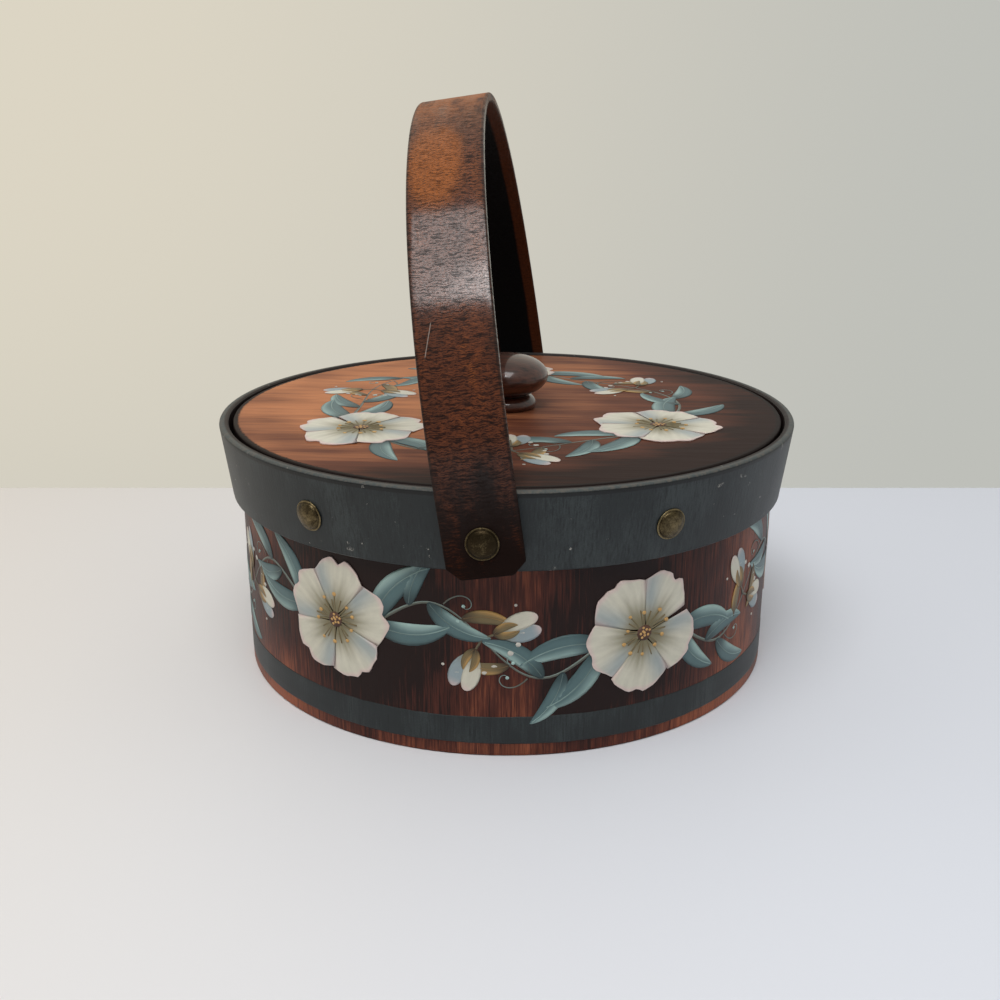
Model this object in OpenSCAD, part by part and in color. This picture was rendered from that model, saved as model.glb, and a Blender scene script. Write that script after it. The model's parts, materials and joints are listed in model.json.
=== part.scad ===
// Lidded bentwood bucket: a hoop-walled round box with a flared rim band, a
// drop-in lid with a turned knob, and a strap handle that swings on two rivets.
// Millimetres, +Z up. The origin is the centre of the base, the front is -Y,
// and the handle's two rivets lie on the Y axis.

/* [Wall and bottom] */
// Outside diameter of the bent wall
wall_diameter = 206; // [160:1:260]
// Thickness of the bent wall
wall_thickness = 3; // [2:0.1:5]
// Height of the wall, which is where the lid is seated
wall_height = 89.7; // [70:0.1:140]
// Thickness of the bottom board
bottom_thickness = 6; // [4:0.5:12]
// Height of the bottom board above the wall's lower edge
bottom_recess = 3; // [1:0.5:8]

/* [Rim band] */
// Height of the band round the rim
band_height = 27.5; // [24:0.5:40]
// Thickness of the band
band_thickness = 3.4; // [2.4:0.1:5]
// How far the band's upper edge stands out past its lower edge
band_flare = 3.5; // [2:0.1:6]

/* [Lid] */
// Thickness of the lid panel
lid_thickness = 5; // [4:0.5:8]
// How far the lid's face lies below the band's upper edge
lid_recess = 0.3; // [0:0.1:2]
// Gap all round between the lid's lower edge and the band
lid_clearance = 0.75; // [0.6:0.05:2]
// Share of that gap by which the loose lid has slid off centre
lid_settle = 0.55; // [0:0.05:0.6]
// Direction in which the loose lid has slid, in degrees from +X
lid_settle_angle = 65; // [0:5:360]
// Radius of the lid's eased edges
lid_edge = 0.8; // [0.3:0.1:1.5]

/* [Knob] */
// Largest diameter of the knob
knob_diameter = 32; // [26:0.5:44]
// Height of the knob above the lid
knob_height = 21.2; // [19:0.1:34]
// Height of the knob's widest place above the lid
knob_belly_height = 12.8; // [11.5:0.1:16]
// Diameter of the knob's neck
knob_neck_diameter = 14.8; // [10:0.2:18]
// Largest diameter of the knob's rounded foot
knob_foot_diameter = 23; // [19:0.5:28]
// Height of the narrowest place of the neck
knob_neck_height = 5.3; // [4.5:0.1:8]

/* [Handle] */
// Width of the handle strap
strap_width = 25; // [20:0.5:34]
// Thickness of the handle strap
strap_thickness = 3.2; // [2.4:0.1:5]
// Gap between the strap and the widest edge of the rim band
strap_clearance = 0.35; // [0.3:0.05:1.5]
// Length of straight leg above the rim band's upper edge
leg_above_rim = 2.5; // [0:0.5:40]
// Length of the strap below its rivets
strap_tail = 11.5; // [9:0.5:16]
// Size of the clipped corners at the strap's ends
strap_clip = 4.2; // [1:0.1:6]
// Radius of the strap's long edges
strap_edge = 0.7; // [0.3:0.1:1.1]
// Lean of the handle towards -X, in degrees from upright
handle_lean = 8; // [-100:1:100]

/* [Rivets] */
// Diameter of the rivet heads
rivet_head_diameter = 11; // [9:0.5:14]
// Height of the domed rivet heads
rivet_head_height = 2.1; // [1.2:0.1:3.5]
// Diameter of the rivet shanks
rivet_shank_diameter = 4.8; // [3:0.1:6]
// Height of the wall's upper edge above the rivets
rivet_drop = 10.2; // [8:0.1:14]
// Angle round the bucket between a handle rivet and the band rivet beside it
band_rivet_angle = 32.5; // [20:0.5:60]
// Diameter of the burrs inside the wall
burr_diameter = 10; // [8:0.5:13]
// Thickness of the burrs
burr_thickness = 1.5; // [1.2:0.1:2.5]
// Diameter of the leather washers behind the handle
washer_diameter = 16; // [12:0.5:20]

/* [Knob screw] */
// Diameter of the screw over its threads
screw_diameter = 4.2; // [3:0.1:5]
// Length of screw inside the knob
screw_bite = 13; // [8:0.5:14]
// Diameter of the screw's countersunk head
screw_head_diameter = 8; // [6.5:0.1:9.5]

/* [Hidden] */
$fn = 180;

// Fits: the glue line between fixed pieces, the gap under what is seated on the
// flared band, the play of the handle between its washer and the rivet's head,
// and the running fit of its bores on the shanks.
glue_line = 0.05;
seat_gap = 0.12;
handle_play = 0.1;
bore_clearance = 0.06;
hole_clearance = 0.1;
overcut = 1;

// Edges that are only just broken, as with a sanding block
wall_edge = 0.5;
band_top_edge = 1.0;
band_low_edge = 0.5;

wall_r = wall_diameter / 2;
wall_inner_r = wall_r - wall_thickness;

rim_top = wall_height + lid_thickness + lid_recess;
band_low = rim_top - band_height;
band_inner_low_r = wall_r + glue_line;
band_slope = band_flare / band_height;
flare_angle = atan(band_slope);

// Radius of the flared band's inner and outer face at a height
function band_inner_r(z) = band_inner_low_r + band_slope * (z - band_low);
function band_outer_r(z) = band_inner_r(z) + band_thickness;

lid_r = band_inner_r(wall_height) - lid_clearance;
lid_top = wall_height + lid_thickness;
lid_shift = lid_settle * lid_clearance;
lid_x = lid_shift * cos(lid_settle_angle);
lid_y = lid_shift * sin(lid_settle_angle);

rivet_z = wall_height - rivet_drop;
rivet_head_r = rivet_head_diameter / 2;
rivet_shank_r = rivet_shank_diameter / 2;
rivet_hole_r = rivet_shank_r + hole_clearance;
rivet_tail_r = rivet_shank_r + 0.8;
rivet_tail_height = 1.0;
rivet_rim_thickness = 0.5;
burr_r = burr_diameter / 2;
washer_r = washer_diameter / 2;

strap_inner_r = band_outer_r(rim_top) + strap_clearance;
strap_outer_r = strap_inner_r + strap_thickness;
leg_length = rim_top - rivet_z + leg_above_rim;

knob_r = knob_diameter / 2;
knob_neck_r = knob_neck_diameter / 2;
knob_foot_r = knob_foot_diameter / 2;
knob_foot_widest = 1.7;
knob_foot_tuck = 45;
knob_belly_angle = acos(knob_neck_r / knob_r);
knob_belly_low = (knob_belly_height - knob_neck_height) / sin(knob_belly_angle);
knob_crown = knob_height - knob_belly_height;

screw_r = screw_diameter / 2;
screw_core_r = screw_r - 0.55;
screw_head_r = screw_head_diameter / 2;
screw_head_depth = screw_head_r - screw_r;
screw_pitch = 1.5;
screw_tip = 3;
screw_slot_width = 1;
screw_slot_depth = 0.9;

FOOT_STEPS = 12;
BELLY_STEPS = 14;
CROWN_STEPS = 14;
EDGE_STEPS = 4;

// Points along an arc of radius r about [x, y], from angle a to angle b
function arc(x, y, r, a, b, n = EDGE_STEPS) =
    [for (i = [0 : n]) let (t = a + (b - a) * i / n) [x + r * cos(t), y + r * sin(t)]];

// Solid that fills everything inside the band's outer face and the thin gap over
// it, for seating what lies against that face
module inside_of_band() {
    low = band_low - band_height;
    high = rim_top + band_height;
    rotate_extrude()
        polygon([[0, low], [band_outer_r(low) + seat_gap, low],
            [band_outer_r(high) + seat_gap, high], [0, high]]);
}

// Ring that fills everything outside the wall's inner face
module outside_of_wall() {
    difference() {
        cylinder(r = strap_outer_r, h = rim_top);
        translate([0, 0, -overcut])
            cylinder(r = wall_inner_r, h = rim_top + 2 * overcut);
    }
}

// Turns a piece built along +Z so that +Z points out of the bucket, square to
// its axis, at an angle round it
module square_out(angle) {
    rotate([0, 0, angle])
        translate([0, 0, rivet_z])
            rotate([0, 90, 0])
                children();
}

// The same, but square to the flared band, from the band's outer face
module band_out(angle) {
    rotate([0, 0, angle])
        translate([band_outer_r(rivet_z), 0, rivet_z])
            rotate([0, 90 + flare_angle, 0])
                children();
}

FRONT = -90;
REAR = 90;
BAND_RIVET_ANGLES = [FRONT - band_rivet_angle, FRONT + band_rivet_angle,
    REAR + band_rivet_angle, REAR - band_rivet_angle];
band_rivet_depth = (band_outer_r(rivet_z) - wall_inner_r) / cos(flare_angle);

// Holes for all six rivets, as long as the wall and band are thick
module rivet_holes() {
    depth = strap_outer_r - wall_inner_r + 2 * overcut;
    for (angle = [FRONT, REAR])
        square_out(angle)
            translate([0, 0, wall_inner_r - overcut])
                cylinder(r = rivet_hole_r, h = depth);
    for (angle = BAND_RIVET_ANGLES)
        band_out(angle)
            translate([0, 0, -band_rivet_depth - 2 * overcut])
                cylinder(r = rivet_hole_r, h = depth);
}

// Bent hoop of the wall, with its two edges just broken
module side_wall() {
    e = wall_edge;
    color([0.36, 0.17, 0.11])
    difference() {
        rotate_extrude()
            polygon([[wall_inner_r + e, 0], [wall_r - e, 0], [wall_r, e],
                [wall_r, wall_height - e], [wall_r - e, wall_height],
                [wall_inner_r + e, wall_height], [wall_inner_r, wall_height - e],
                [wall_inner_r, e]]);
        rivet_holes();
    }
}

// Round board glued inside the wall, a little above its lower edge
module bottom_board() {
    color([0.42, 0.24, 0.15])
    translate([0, 0, bottom_recess])
        cylinder(r = wall_inner_r - glue_line, h = bottom_thickness);
}

// Flared band round the rim, with a rounded upper edge
module rim_band() {
    low_in = band_inner_r(band_low);
    low_out = band_outer_r(band_low);
    top_in = band_inner_r(rim_top);
    top_out = band_outer_r(rim_top);
    r = band_top_edge;
    color([0.20, 0.23, 0.24])
    difference() {
        rotate_extrude()
            polygon(concat(
                [[low_in, band_low], [low_out - band_low_edge, band_low],
                    [low_out, band_low + band_low_edge]],
                arc(top_out - r, rim_top - r, r, 0, 90),
                [[top_in + wall_edge, rim_top], [top_in, rim_top - wall_edge]]));
        rivet_holes();
    }
}

// Domed rivet head with a thin rim, from a depth below its seat at z = 0
module rivet_head(depth = 0) {
    dome = rivet_head_height - rivet_rim_thickness;
    dome_r = (rivet_head_r * rivet_head_r + dome * dome) / (2 * dome);
    intersection() {
        translate([0, 0, -depth])
            cylinder(r = rivet_head_r, h = rivet_head_height + depth + overcut);
        translate([0, 0, rivet_head_height - dome_r])
            sphere(r = dome_r);
    }
}

// Hammered tail that holds a burr, its flat face at z = 0 and pointing to -Z
module rivet_tail() {
    translate([0, 0, -rivet_tail_height])
        cylinder(r1 = rivet_shank_r, r2 = rivet_tail_r, h = rivet_tail_height);
}

// Rivet through the band and the wall, its head seated on the flared band
module band_rivet(angle) {
    length = band_rivet_depth + burr_thickness;
    color([0.45, 0.38, 0.22]) {
        difference() {
            band_out(angle)
                rivet_head(rivet_rim_thickness);
            inside_of_band();
        }
        band_out(angle)
            translate([0, 0, -length]) {
                cylinder(r = rivet_shank_r, h = length + rivet_rim_thickness);
                rivet_tail();
            }
    }
}

// Brass ring under a rivet's tail, its outer side shaped to the wall
module band_burr(angle) {
    color([0.55, 0.45, 0.24])
    difference() {
        band_out(angle)
            translate([0, 0, -band_rivet_depth - burr_thickness])
                difference() {
                    cylinder(r = burr_r, h = 2 * burr_thickness);
                    translate([0, 0, -overcut])
                        cylinder(r = rivet_hole_r, h = 2 * burr_thickness + 2 * overcut);
                }
        outside_of_wall();
    }
}

// Rivet on which the handle swings: head outside the strap, tail in the bucket
module handle_rivet(angle) {
    start = wall_inner_r - burr_thickness;
    seat = strap_outer_r + handle_play;
    color([0.45, 0.38, 0.22])
    square_out(angle) {
        translate([0, 0, start])
            cylinder(r = rivet_shank_r, h = seat - start + rivet_rim_thickness);
        translate([0, 0, seat])
            rivet_head();
        translate([0, 0, start])
            rivet_tail();
    }
}

// Brass ring under a handle rivet's tail
module handle_burr(angle) {
    color([0.55, 0.45, 0.24])
    difference() {
        square_out(angle)
            translate([0, 0, wall_inner_r - burr_thickness])
                difference() {
                    cylinder(r = burr_r, h = 2 * burr_thickness);
                    translate([0, 0, -overcut])
                        cylinder(r = rivet_hole_r, h = 2 * burr_thickness + 2 * overcut);
                }
        outside_of_wall();
    }
}

// Leather washer that spaces the strap off the band, pressed to the band's shape
module handle_washer(angle) {
    face = strap_inner_r - handle_play;
    depth = face - band_inner_low_r;
    color([0.24, 0.14, 0.09])
    difference() {
        square_out(angle)
            translate([0, 0, face - depth])
                difference() {
                    cylinder(r = washer_r, h = depth);
                    translate([0, 0, -overcut])
                        cylinder(r = rivet_hole_r, h = depth + 2 * overcut);
                }
        inside_of_band();
    }
}

// Cross-section of the strap, with rounded long edges: X is its thickness from
// the handle's middle line outwards, Y is its width
module strap_section() {
    e = strap_edge;
    a = strap_inner_r;
    b = strap_outer_r;
    w = strap_width / 2;
    polygon(concat(
        arc(b - e, w - e, e, 0, 90),
        arc(a + e, w - e, e, 90, 180),
        arc(a + e, e - w, e, 180, 270),
        arc(b - e, e - w, e, 270, 360)));
}

// Outline of a leg seen from outside, with clipped corners at its lower end
module leg_outline() {
    w = strap_width / 2;
    polygon([[-w, leg_length], [-w, strap_clip - strap_tail],
        [strap_clip - w, -strap_tail], [w - strap_clip, -strap_tail],
        [w, strap_clip - strap_tail], [w, leg_length]]);
}

// One straight leg of the handle on +Y, with the pivot at height 0
module leg() {
    intersection() {
        translate([0, 0, -strap_tail])
            rotate([0, 0, 90])
                linear_extrude(height = leg_length + strap_tail)
                    strap_section();
        translate([0, strap_outer_r + overcut, 0])
            rotate([90, 0, 0])
                linear_extrude(height = strap_thickness + 2 * overcut)
                    leg_outline();
    }
}

// Bent strap handle: a half round arch on two straight legs, leaning at rest
module handle() {
    color([0.40, 0.20, 0.13])
    translate([0, 0, rivet_z])
        rotate([0, -handle_lean, 0])
            difference() {
                union() {
                    leg();
                    mirror([0, 1, 0])
                        leg();
                    translate([0, 0, leg_length])
                        rotate([90, 0, 90])
                            rotate_extrude(angle = 180)
                                strap_section();
                }
                rotate([90, 0, 0])
                    translate([0, 0, -strap_outer_r - overcut])
                        cylinder(r = rivet_shank_r + bore_clearance,
                            h = 2 * (strap_outer_r + overcut));
            }
}

// Round lid panel with eased edges, countersunk from below for the knob's screw
module lid_panel() {
    e = lid_edge;
    hole_r = screw_r + hole_clearance;
    sink_r = screw_head_r + hole_clearance;
    color([0.50, 0.28, 0.19])
    translate([lid_x, lid_y, wall_height])
        rotate_extrude()
            polygon(concat(
                [[hole_r, sink_r - hole_r], [sink_r, 0]],
                arc(lid_r - e, e, e, -90, 0),
                arc(lid_r - e, lid_thickness - e, e, 0, 90),
                [[hole_r, lid_thickness]]));
}

// Turned knob: a rounded foot, a narrow neck and a full rounded head
module knob() {
    bore_r = screw_r + glue_line;
    bore_depth = screw_bite + 1;
    foot = [for (i = [0 : FOOT_STEPS])
        let (t = -knob_foot_tuck + (90 + knob_foot_tuck) * i / FOOT_STEPS,
            below = knob_foot_widest / sin(knob_foot_tuck),
            above = knob_neck_height - knob_foot_widest)
        [knob_neck_r + (knob_foot_r - knob_neck_r) * cos(t),
            knob_foot_widest + (t < 0 ? below : above) * sin(t)]];
    belly = [for (i = [1 : BELLY_STEPS]) let (t = -knob_belly_angle * (1 - i / BELLY_STEPS))
        [knob_r * cos(t), knob_belly_height + knob_belly_low * sin(t)]];
    crown = [for (i = [1 : CROWN_STEPS]) let (t = 90 * i / CROWN_STEPS)
        [knob_r * cos(t), knob_belly_height + knob_crown * sin(t)]];
    color([0.25, 0.14, 0.09])
    translate([lid_x, lid_y, lid_top])
        rotate_extrude()
            polygon(concat(
                [[bore_r, 0]], foot, belly, crown,
                [[0, bore_depth], [bore_r, bore_depth]]));
}

// Countersunk wood screw that holds the knob, from under the lid
module knob_screw() {
    thread_start = lid_thickness;
    thread_end = lid_thickness + screw_bite - screw_tip;
    turns = floor((thread_end - thread_start) / screw_pitch);
    thread = [for (i = [0 : turns - 1], side = [0, 1])
        [side == 0 ? screw_r : screw_core_r,
            thread_start + (i + (side == 0 ? 0.25 : 0.75)) * screw_pitch]];
    color([0.6, 0.6, 0.6])
    translate([lid_x, lid_y, wall_height])
        difference() {
            rotate_extrude()
                polygon(concat(
                    [[0, 0], [screw_head_r, 0], [screw_r, screw_head_depth],
                        [screw_r, thread_start - screw_pitch],
                        [screw_core_r, thread_start - screw_pitch / 4]],
                    thread,
                    [[screw_core_r, thread_end], [0, thread_end + screw_tip]]));
            translate([-screw_head_r - overcut, -screw_slot_width / 2, -overcut])
                cube([2 * (screw_head_r + overcut), screw_slot_width,
                    screw_slot_depth + overcut]);
        }
}

side_wall();
bottom_board();
rim_band();
band_rivet(BAND_RIVET_ANGLES[0]);  // band_rivet_front_left
band_rivet(BAND_RIVET_ANGLES[1]);  // band_rivet_front_right
band_rivet(BAND_RIVET_ANGLES[2]);  // band_rivet_rear_left
band_rivet(BAND_RIVET_ANGLES[3]);  // band_rivet_rear_right
band_burr(BAND_RIVET_ANGLES[0]);  // band_burr_front_left
band_burr(BAND_RIVET_ANGLES[1]);  // band_burr_front_right
band_burr(BAND_RIVET_ANGLES[2]);  // band_burr_rear_left
band_burr(BAND_RIVET_ANGLES[3]);  // band_burr_rear_right
handle_rivet(FRONT);  // handle_rivet_front
handle_rivet(REAR);  // handle_rivet_rear
handle_burr(FRONT);  // handle_burr_front
handle_burr(REAR);  // handle_burr_rear
handle_washer(FRONT);  // handle_washer_front
handle_washer(REAR);  // handle_washer_rear
handle();
lid_panel();
knob();
knob_screw();
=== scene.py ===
"""Finish, painted garland and light for a lidded bentwood bucket.

Metres, +Z up, the front at -Y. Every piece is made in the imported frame's own place.
"""

import json
import math

import bpy
import numpy as np
from bpy.props import FloatProperty, FloatVectorProperty, IntProperty, PointerProperty
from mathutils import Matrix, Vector


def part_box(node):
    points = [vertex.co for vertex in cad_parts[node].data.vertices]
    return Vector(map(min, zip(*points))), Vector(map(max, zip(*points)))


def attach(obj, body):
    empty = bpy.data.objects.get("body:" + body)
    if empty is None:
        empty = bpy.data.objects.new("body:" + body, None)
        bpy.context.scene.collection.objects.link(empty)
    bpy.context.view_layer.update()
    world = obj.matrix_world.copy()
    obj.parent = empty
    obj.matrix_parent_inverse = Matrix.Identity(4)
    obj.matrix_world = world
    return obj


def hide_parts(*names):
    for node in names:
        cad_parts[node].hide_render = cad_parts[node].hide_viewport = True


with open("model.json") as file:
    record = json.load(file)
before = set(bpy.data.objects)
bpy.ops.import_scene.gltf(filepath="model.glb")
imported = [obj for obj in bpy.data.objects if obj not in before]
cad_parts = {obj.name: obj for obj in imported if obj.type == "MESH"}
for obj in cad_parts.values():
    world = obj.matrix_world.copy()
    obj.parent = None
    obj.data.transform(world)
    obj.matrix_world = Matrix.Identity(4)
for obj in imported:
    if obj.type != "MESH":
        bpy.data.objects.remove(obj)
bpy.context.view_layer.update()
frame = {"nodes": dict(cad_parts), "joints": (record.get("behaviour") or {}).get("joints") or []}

bl_info = {
    "name": "Lidded bentwood bucket",
    "version": (1, 0, 0),
    "blender": (4, 5, 0),
    "location": "View3D > Sidebar > Bucket",
    "description": "Wood, paint, brushwork, lamps and camera for a lidded bentwood bucket",
    "category": "Object",
}

MM = 0.001

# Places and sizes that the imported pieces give
WALL_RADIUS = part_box("side_wall")[1].x
WALL_INNER_RADIUS = -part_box("handle_burr_front")[0].y
BAND_LOW, BAND_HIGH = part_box("rim_band")
LID_LOW, LID_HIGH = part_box("lid_panel")
LID_CENTRE = (LID_LOW + LID_HIGH) / 2
LID_RADIUS = (LID_HIGH.x - LID_LOW.x) / 2
KNOB_LOW, KNOB_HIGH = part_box("knob")
HANDLE_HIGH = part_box("handle")[1]
HANDLE_RIVET_LOW, HANDLE_RIVET_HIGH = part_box("handle_rivet_front")
PIVOT_HEIGHT = frame["joints"][0]["pos_m"][2]
BAND_RIVETS = ("front_left", "front_right", "rear_left", "rear_right")


def linear(red, green, blue):
    """A paint chart's 0 to 255 values as linear light, by the usual display curve."""
    shares = [value / 255 for value in (red, green, blue)]
    return tuple(s / 12.92 if s <= 0.04045 else ((s + 0.055) / 1.055) ** 2.4 for s in shares)


def colour(name, description, red, green, blue):
    """A colour property with its default given in a paint chart's values."""
    return FloatVectorProperty(name=name, description=description, subtype="COLOR", size=3,
                               min=0, max=1, default=linear(red, green, blue))


def length(name, description, millimetres, low=0.0, high=500.0):
    """A length property with its default and range given in millimetres."""
    return FloatProperty(name=name, description=description, subtype="DISTANCE", unit="LENGTH",
                         min=low * MM, max=high * MM, precision=5, default=millimetres * MM)


def turn(name, description, degrees):
    """An angle property with its default given in degrees."""
    return FloatProperty(name=name, description=description, subtype="ANGLE", unit="ROTATION",
                         default=math.radians(degrees))


class BucketWood(bpy.types.PropertyGroup):
    """Stains of the wooden pieces."""

    wall_dark: colour("Wall, dark", "Stain in the wall's pores and shaded places", 30, 14, 11)
    wall_red: colour("Wall, red", "Main stain of the wall", 80, 39, 29)
    wall_light: colour("Wall, light", "Stain where the wall's grain is bright", 150, 84, 56)
    lid_dark: colour("Lid, dark", "Darkest streaks of the lid", 38, 18, 13)
    lid_red: colour("Lid, red", "Main stain of the lid", 102, 57, 40)
    lid_light: colour("Lid, light", "Orange streaks of the lid", 188, 122, 80)
    # The lid's edge colour is partly dark stain and partly painted shade of the gap round the lid.
    lid_edge_stain_and_shade: colour("Lid, edge", "Dark stain on the lid's edge", 26, 16, 14)
    strap_dark: colour("Strap, dark", "Pores and ends of the strap", 24, 12, 8)
    strap_red: colour("Strap, red", "Main stain of the strap", 98, 48, 21)
    strap_gold: colour("Strap, gold", "Stain worn thin over the arch", 158, 86, 26)
    strap_inside: colour("Strap, inside", "Black stain inside the strap", 5, 5, 6)
    knob_dark: colour("Knob, dark", "Pores of the knob", 34, 17, 12)
    knob_red: colour("Knob, red", "Main stain of the knob", 92, 50, 36)
    bare: colour("Bare wood", "Inside of the wall and the bottom board", 140, 92, 60)
    leather: colour("Leather", "Washers behind the strap", 60, 36, 24)


class BucketPaint(bpy.types.PropertyGroup):
    """Colours of the paint and the brass."""

    slate: colour("Slate", "Band and foot stripe", 33, 38, 39)
    slate_light: colour("Slate, light", "Where the slate paint is thin", 70, 78, 78)
    worn: colour("Worn edge", "The band's rubbed upper edge", 98, 92, 84)
    chip: colour("Chip", "Specks of ground paint", 186, 182, 172)
    cream: colour("Cream", "Outer part of the petals", 208, 204, 186)
    blush: colour("Blush", "Rims of the petals", 214, 190, 184)
    petal_shade: colour("Petal shade", "Warm shade in the petals", 124, 116, 88)
    petal_cool: colour("Petal cool shade", "Cool shade on one side of the petals", 144, 158, 162)
    gold: colour("Gold", "Stamens and buds' cups", 184, 144, 84)
    umber: colour("Umber", "Flowers' centres", 74, 44, 28)
    teal_dark: colour("Teal, dark", "Roots of the leaves", 42, 60, 62)
    teal: colour("Teal", "Leaves", 82, 108, 110)
    teal_light: colour("Teal, light", "Bright side of the leaves", 152, 178, 172)
    olive: colour("Olive", "Small leaves", 120, 104, 70)
    olive_dark: colour("Olive, dark", "Roots of the small leaves", 62, 48, 32)
    stem: colour("Stem", "Vine and tendrils", 92, 94, 84)
    brass: colour("Brass", "Rubbed brass", 142, 126, 92)
    brass_dark: colour("Brass, dark", "Tarnish on the brass", 46, 38, 26)
    steel: colour("Steel", "Screw", 150, 150, 150)


class BucketSizes(bpy.types.PropertyGroup):
    """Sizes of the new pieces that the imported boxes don't give."""

    strap_width: length("Strap width", "Width of the strap", 25)
    strap_thickness: length("Strap thickness", "Thickness of the strap", 3.2)
    strap_edge: length("Strap edge", "Radius of the strap's long edges", 0.7)
    strap_clip: length("Strap clip", "Size of the clipped corners at the strap's ends", 4.2)
    strap_tail: length("Strap tail", "Length of the strap below the rivets", 11.5)
    strap_leg: length("Strap leg", "Straight length above the rivets", 18)
    strap_lean: turn("Strap lean", "Lean of the handle towards -X", 8)
    band_flare: length("Band flare", "How far the band's top stands out past its foot", 3.5)
    rivet_head_radius: length("Rivet head", "Radius of a rivet's head", 5.4)
    rivet_head_height: length("Rivet height", "Height of a rivet's head", 2.1)
    rivet_shank_radius: length("Rivet shank", "Radius of a rivet's shank", 2.4)
    rivet_tail_radius: length("Rivet tail", "Radius of a rivet's hammered tail", 3.2)
    burr_thickness: length("Burr", "Thickness of the burrs", 1.5)
    knob_neck_radius: length("Knob neck", "Radius of the knob's neck", 7.4)
    knob_neck_height: length("Knob neck height", "Height of the neck above the lid", 5.3)
    knob_foot_radius: length("Knob foot", "Radius of the knob's foot", 11.5)
    knob_foot_height: length("Knob foot height", "Height of the foot's widest place", 1.7)
    knob_belly_height: length("Knob belly", "Height of the knob's widest place", 12.8)
    stripe_low: length("Stripe, lower edge", "Height of the foot stripe's lower edge", 4.4)
    stripe_high: length("Stripe, upper edge", "Height of the foot stripe's upper edge", 14.6)


class BucketBrushwork(bpy.types.PropertyGroup):
    """Layout of the painted garland and wreath."""

    level_step: length("Paint layer", "Height of one layer of paint", 0.05)
    crown: length("Stroke crown", "Rise of a stroke's middle over its edge", 0.04)
    wall_blossoms: IntProperty(name="Wall blossoms", description="Blossoms round the wall",
                               default=6, min=3, max=12)
    wall_height: length("Garland height", "Height of the garland's middle", 41.5)
    wall_petal: length("Wall petal", "Length of a petal on the wall", 21.5)
    wall_swing: length("Vine swing", "How far the vine swings up and down", 15)
    lid_blossoms: IntProperty(name="Lid blossoms", description="Blossoms in the lid's wreath",
                              default=3, min=2, max=8)
    lid_ring: length("Wreath radius", "Radius of the wreath on the lid", 63)
    lid_petal: length("Lid petal", "Length of a petal on the lid", 23.5)
    lid_turn: turn("Wreath turn", "Place of the wreath's first blossom, from +X", -24)
    leaf: length("Leaf", "Length of the largest leaves", 29)


class BucketStage(bpy.types.PropertyGroup):
    """Camera, floor, backdrop and lamps."""

    camera_place: FloatVectorProperty(name="Camera place", description="Where the camera stands",
                                      subtype="TRANSLATION", unit="LENGTH", size=3,
                                      default=(0.02893, -0.44915, 0.20462))
    camera_tilt: turn("Camera tilt", "Tilt of the camera up from straight down", 71.756)
    camera_turn: turn("Camera turn", "Turn of the camera to the left", 4.0)
    camera_lens: FloatProperty(name="Lens", description="Focal length in millimetres",
                               unit="CAMERA", default=42.38, min=10, max=200)
    backdrop_distance: length("Backdrop", "Distance from the camera to the backdrop", 643, 0, 5000)
    floor: colour("Floor", "Table top", 222, 225, 232)
    # Painted warm light on the table towards -X.
    floor_warm_light: colour("Floor, warm", "Table top at the left", 230, 223, 214)
    backdrop: colour("Backdrop", "Wall behind the table", 190, 191, 185)
    # Painted warm light on the backdrop, round a place at the left.
    backdrop_warm_light: colour("Backdrop, warm", "Wall behind the table, at the left", 220, 213, 196)
    key_power: FloatProperty(name="Key lamp", description="Power of the overhead lamp",
                             unit="POWER", default=8.5, min=0)
    glint_power: FloatProperty(name="Glint lamp", description="Power of the small overhead lamp",
                               unit="POWER", default=2.2, min=0)
    side_power: FloatProperty(name="Side lamp", description="Power of the lamp at the left",
                              unit="POWER", default=0.5, min=0)
    sky: FloatProperty(name="Sky", description="Light from all round", default=0.55, min=0)
    sky_front: FloatProperty(name="Sky in front", description="Light from the front",
                             default=0.1, min=0)
    seen_dimming: FloatProperty(name="Dimming in front", default=0.5, min=0, max=1,
                                description="How much dimmer the seen sky is in front")


SETTINGS = {
    "bucket_wood": BucketWood,
    "bucket_paint": BucketPaint,
    "bucket_sizes": BucketSizes,
    "bucket_brushwork": BucketBrushwork,
    "bucket_stage": BucketStage,
}


class Value:
    """A number, colour or vector in a material: sums, products and the like add Math nodes."""

    def __init__(self, finish, socket):
        self.finish = finish
        self.socket = socket

    def __add__(self, other):
        return self.finish.math("ADD", self, other)

    def __sub__(self, other):
        return self.finish.math("SUBTRACT", self, other)

    def __rsub__(self, other):
        return self.finish.math("SUBTRACT", other, self)

    def __mul__(self, other):
        return self.finish.math("MULTIPLY", self, other)

    __radd__ = __add__
    __rmul__ = __mul__


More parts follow.
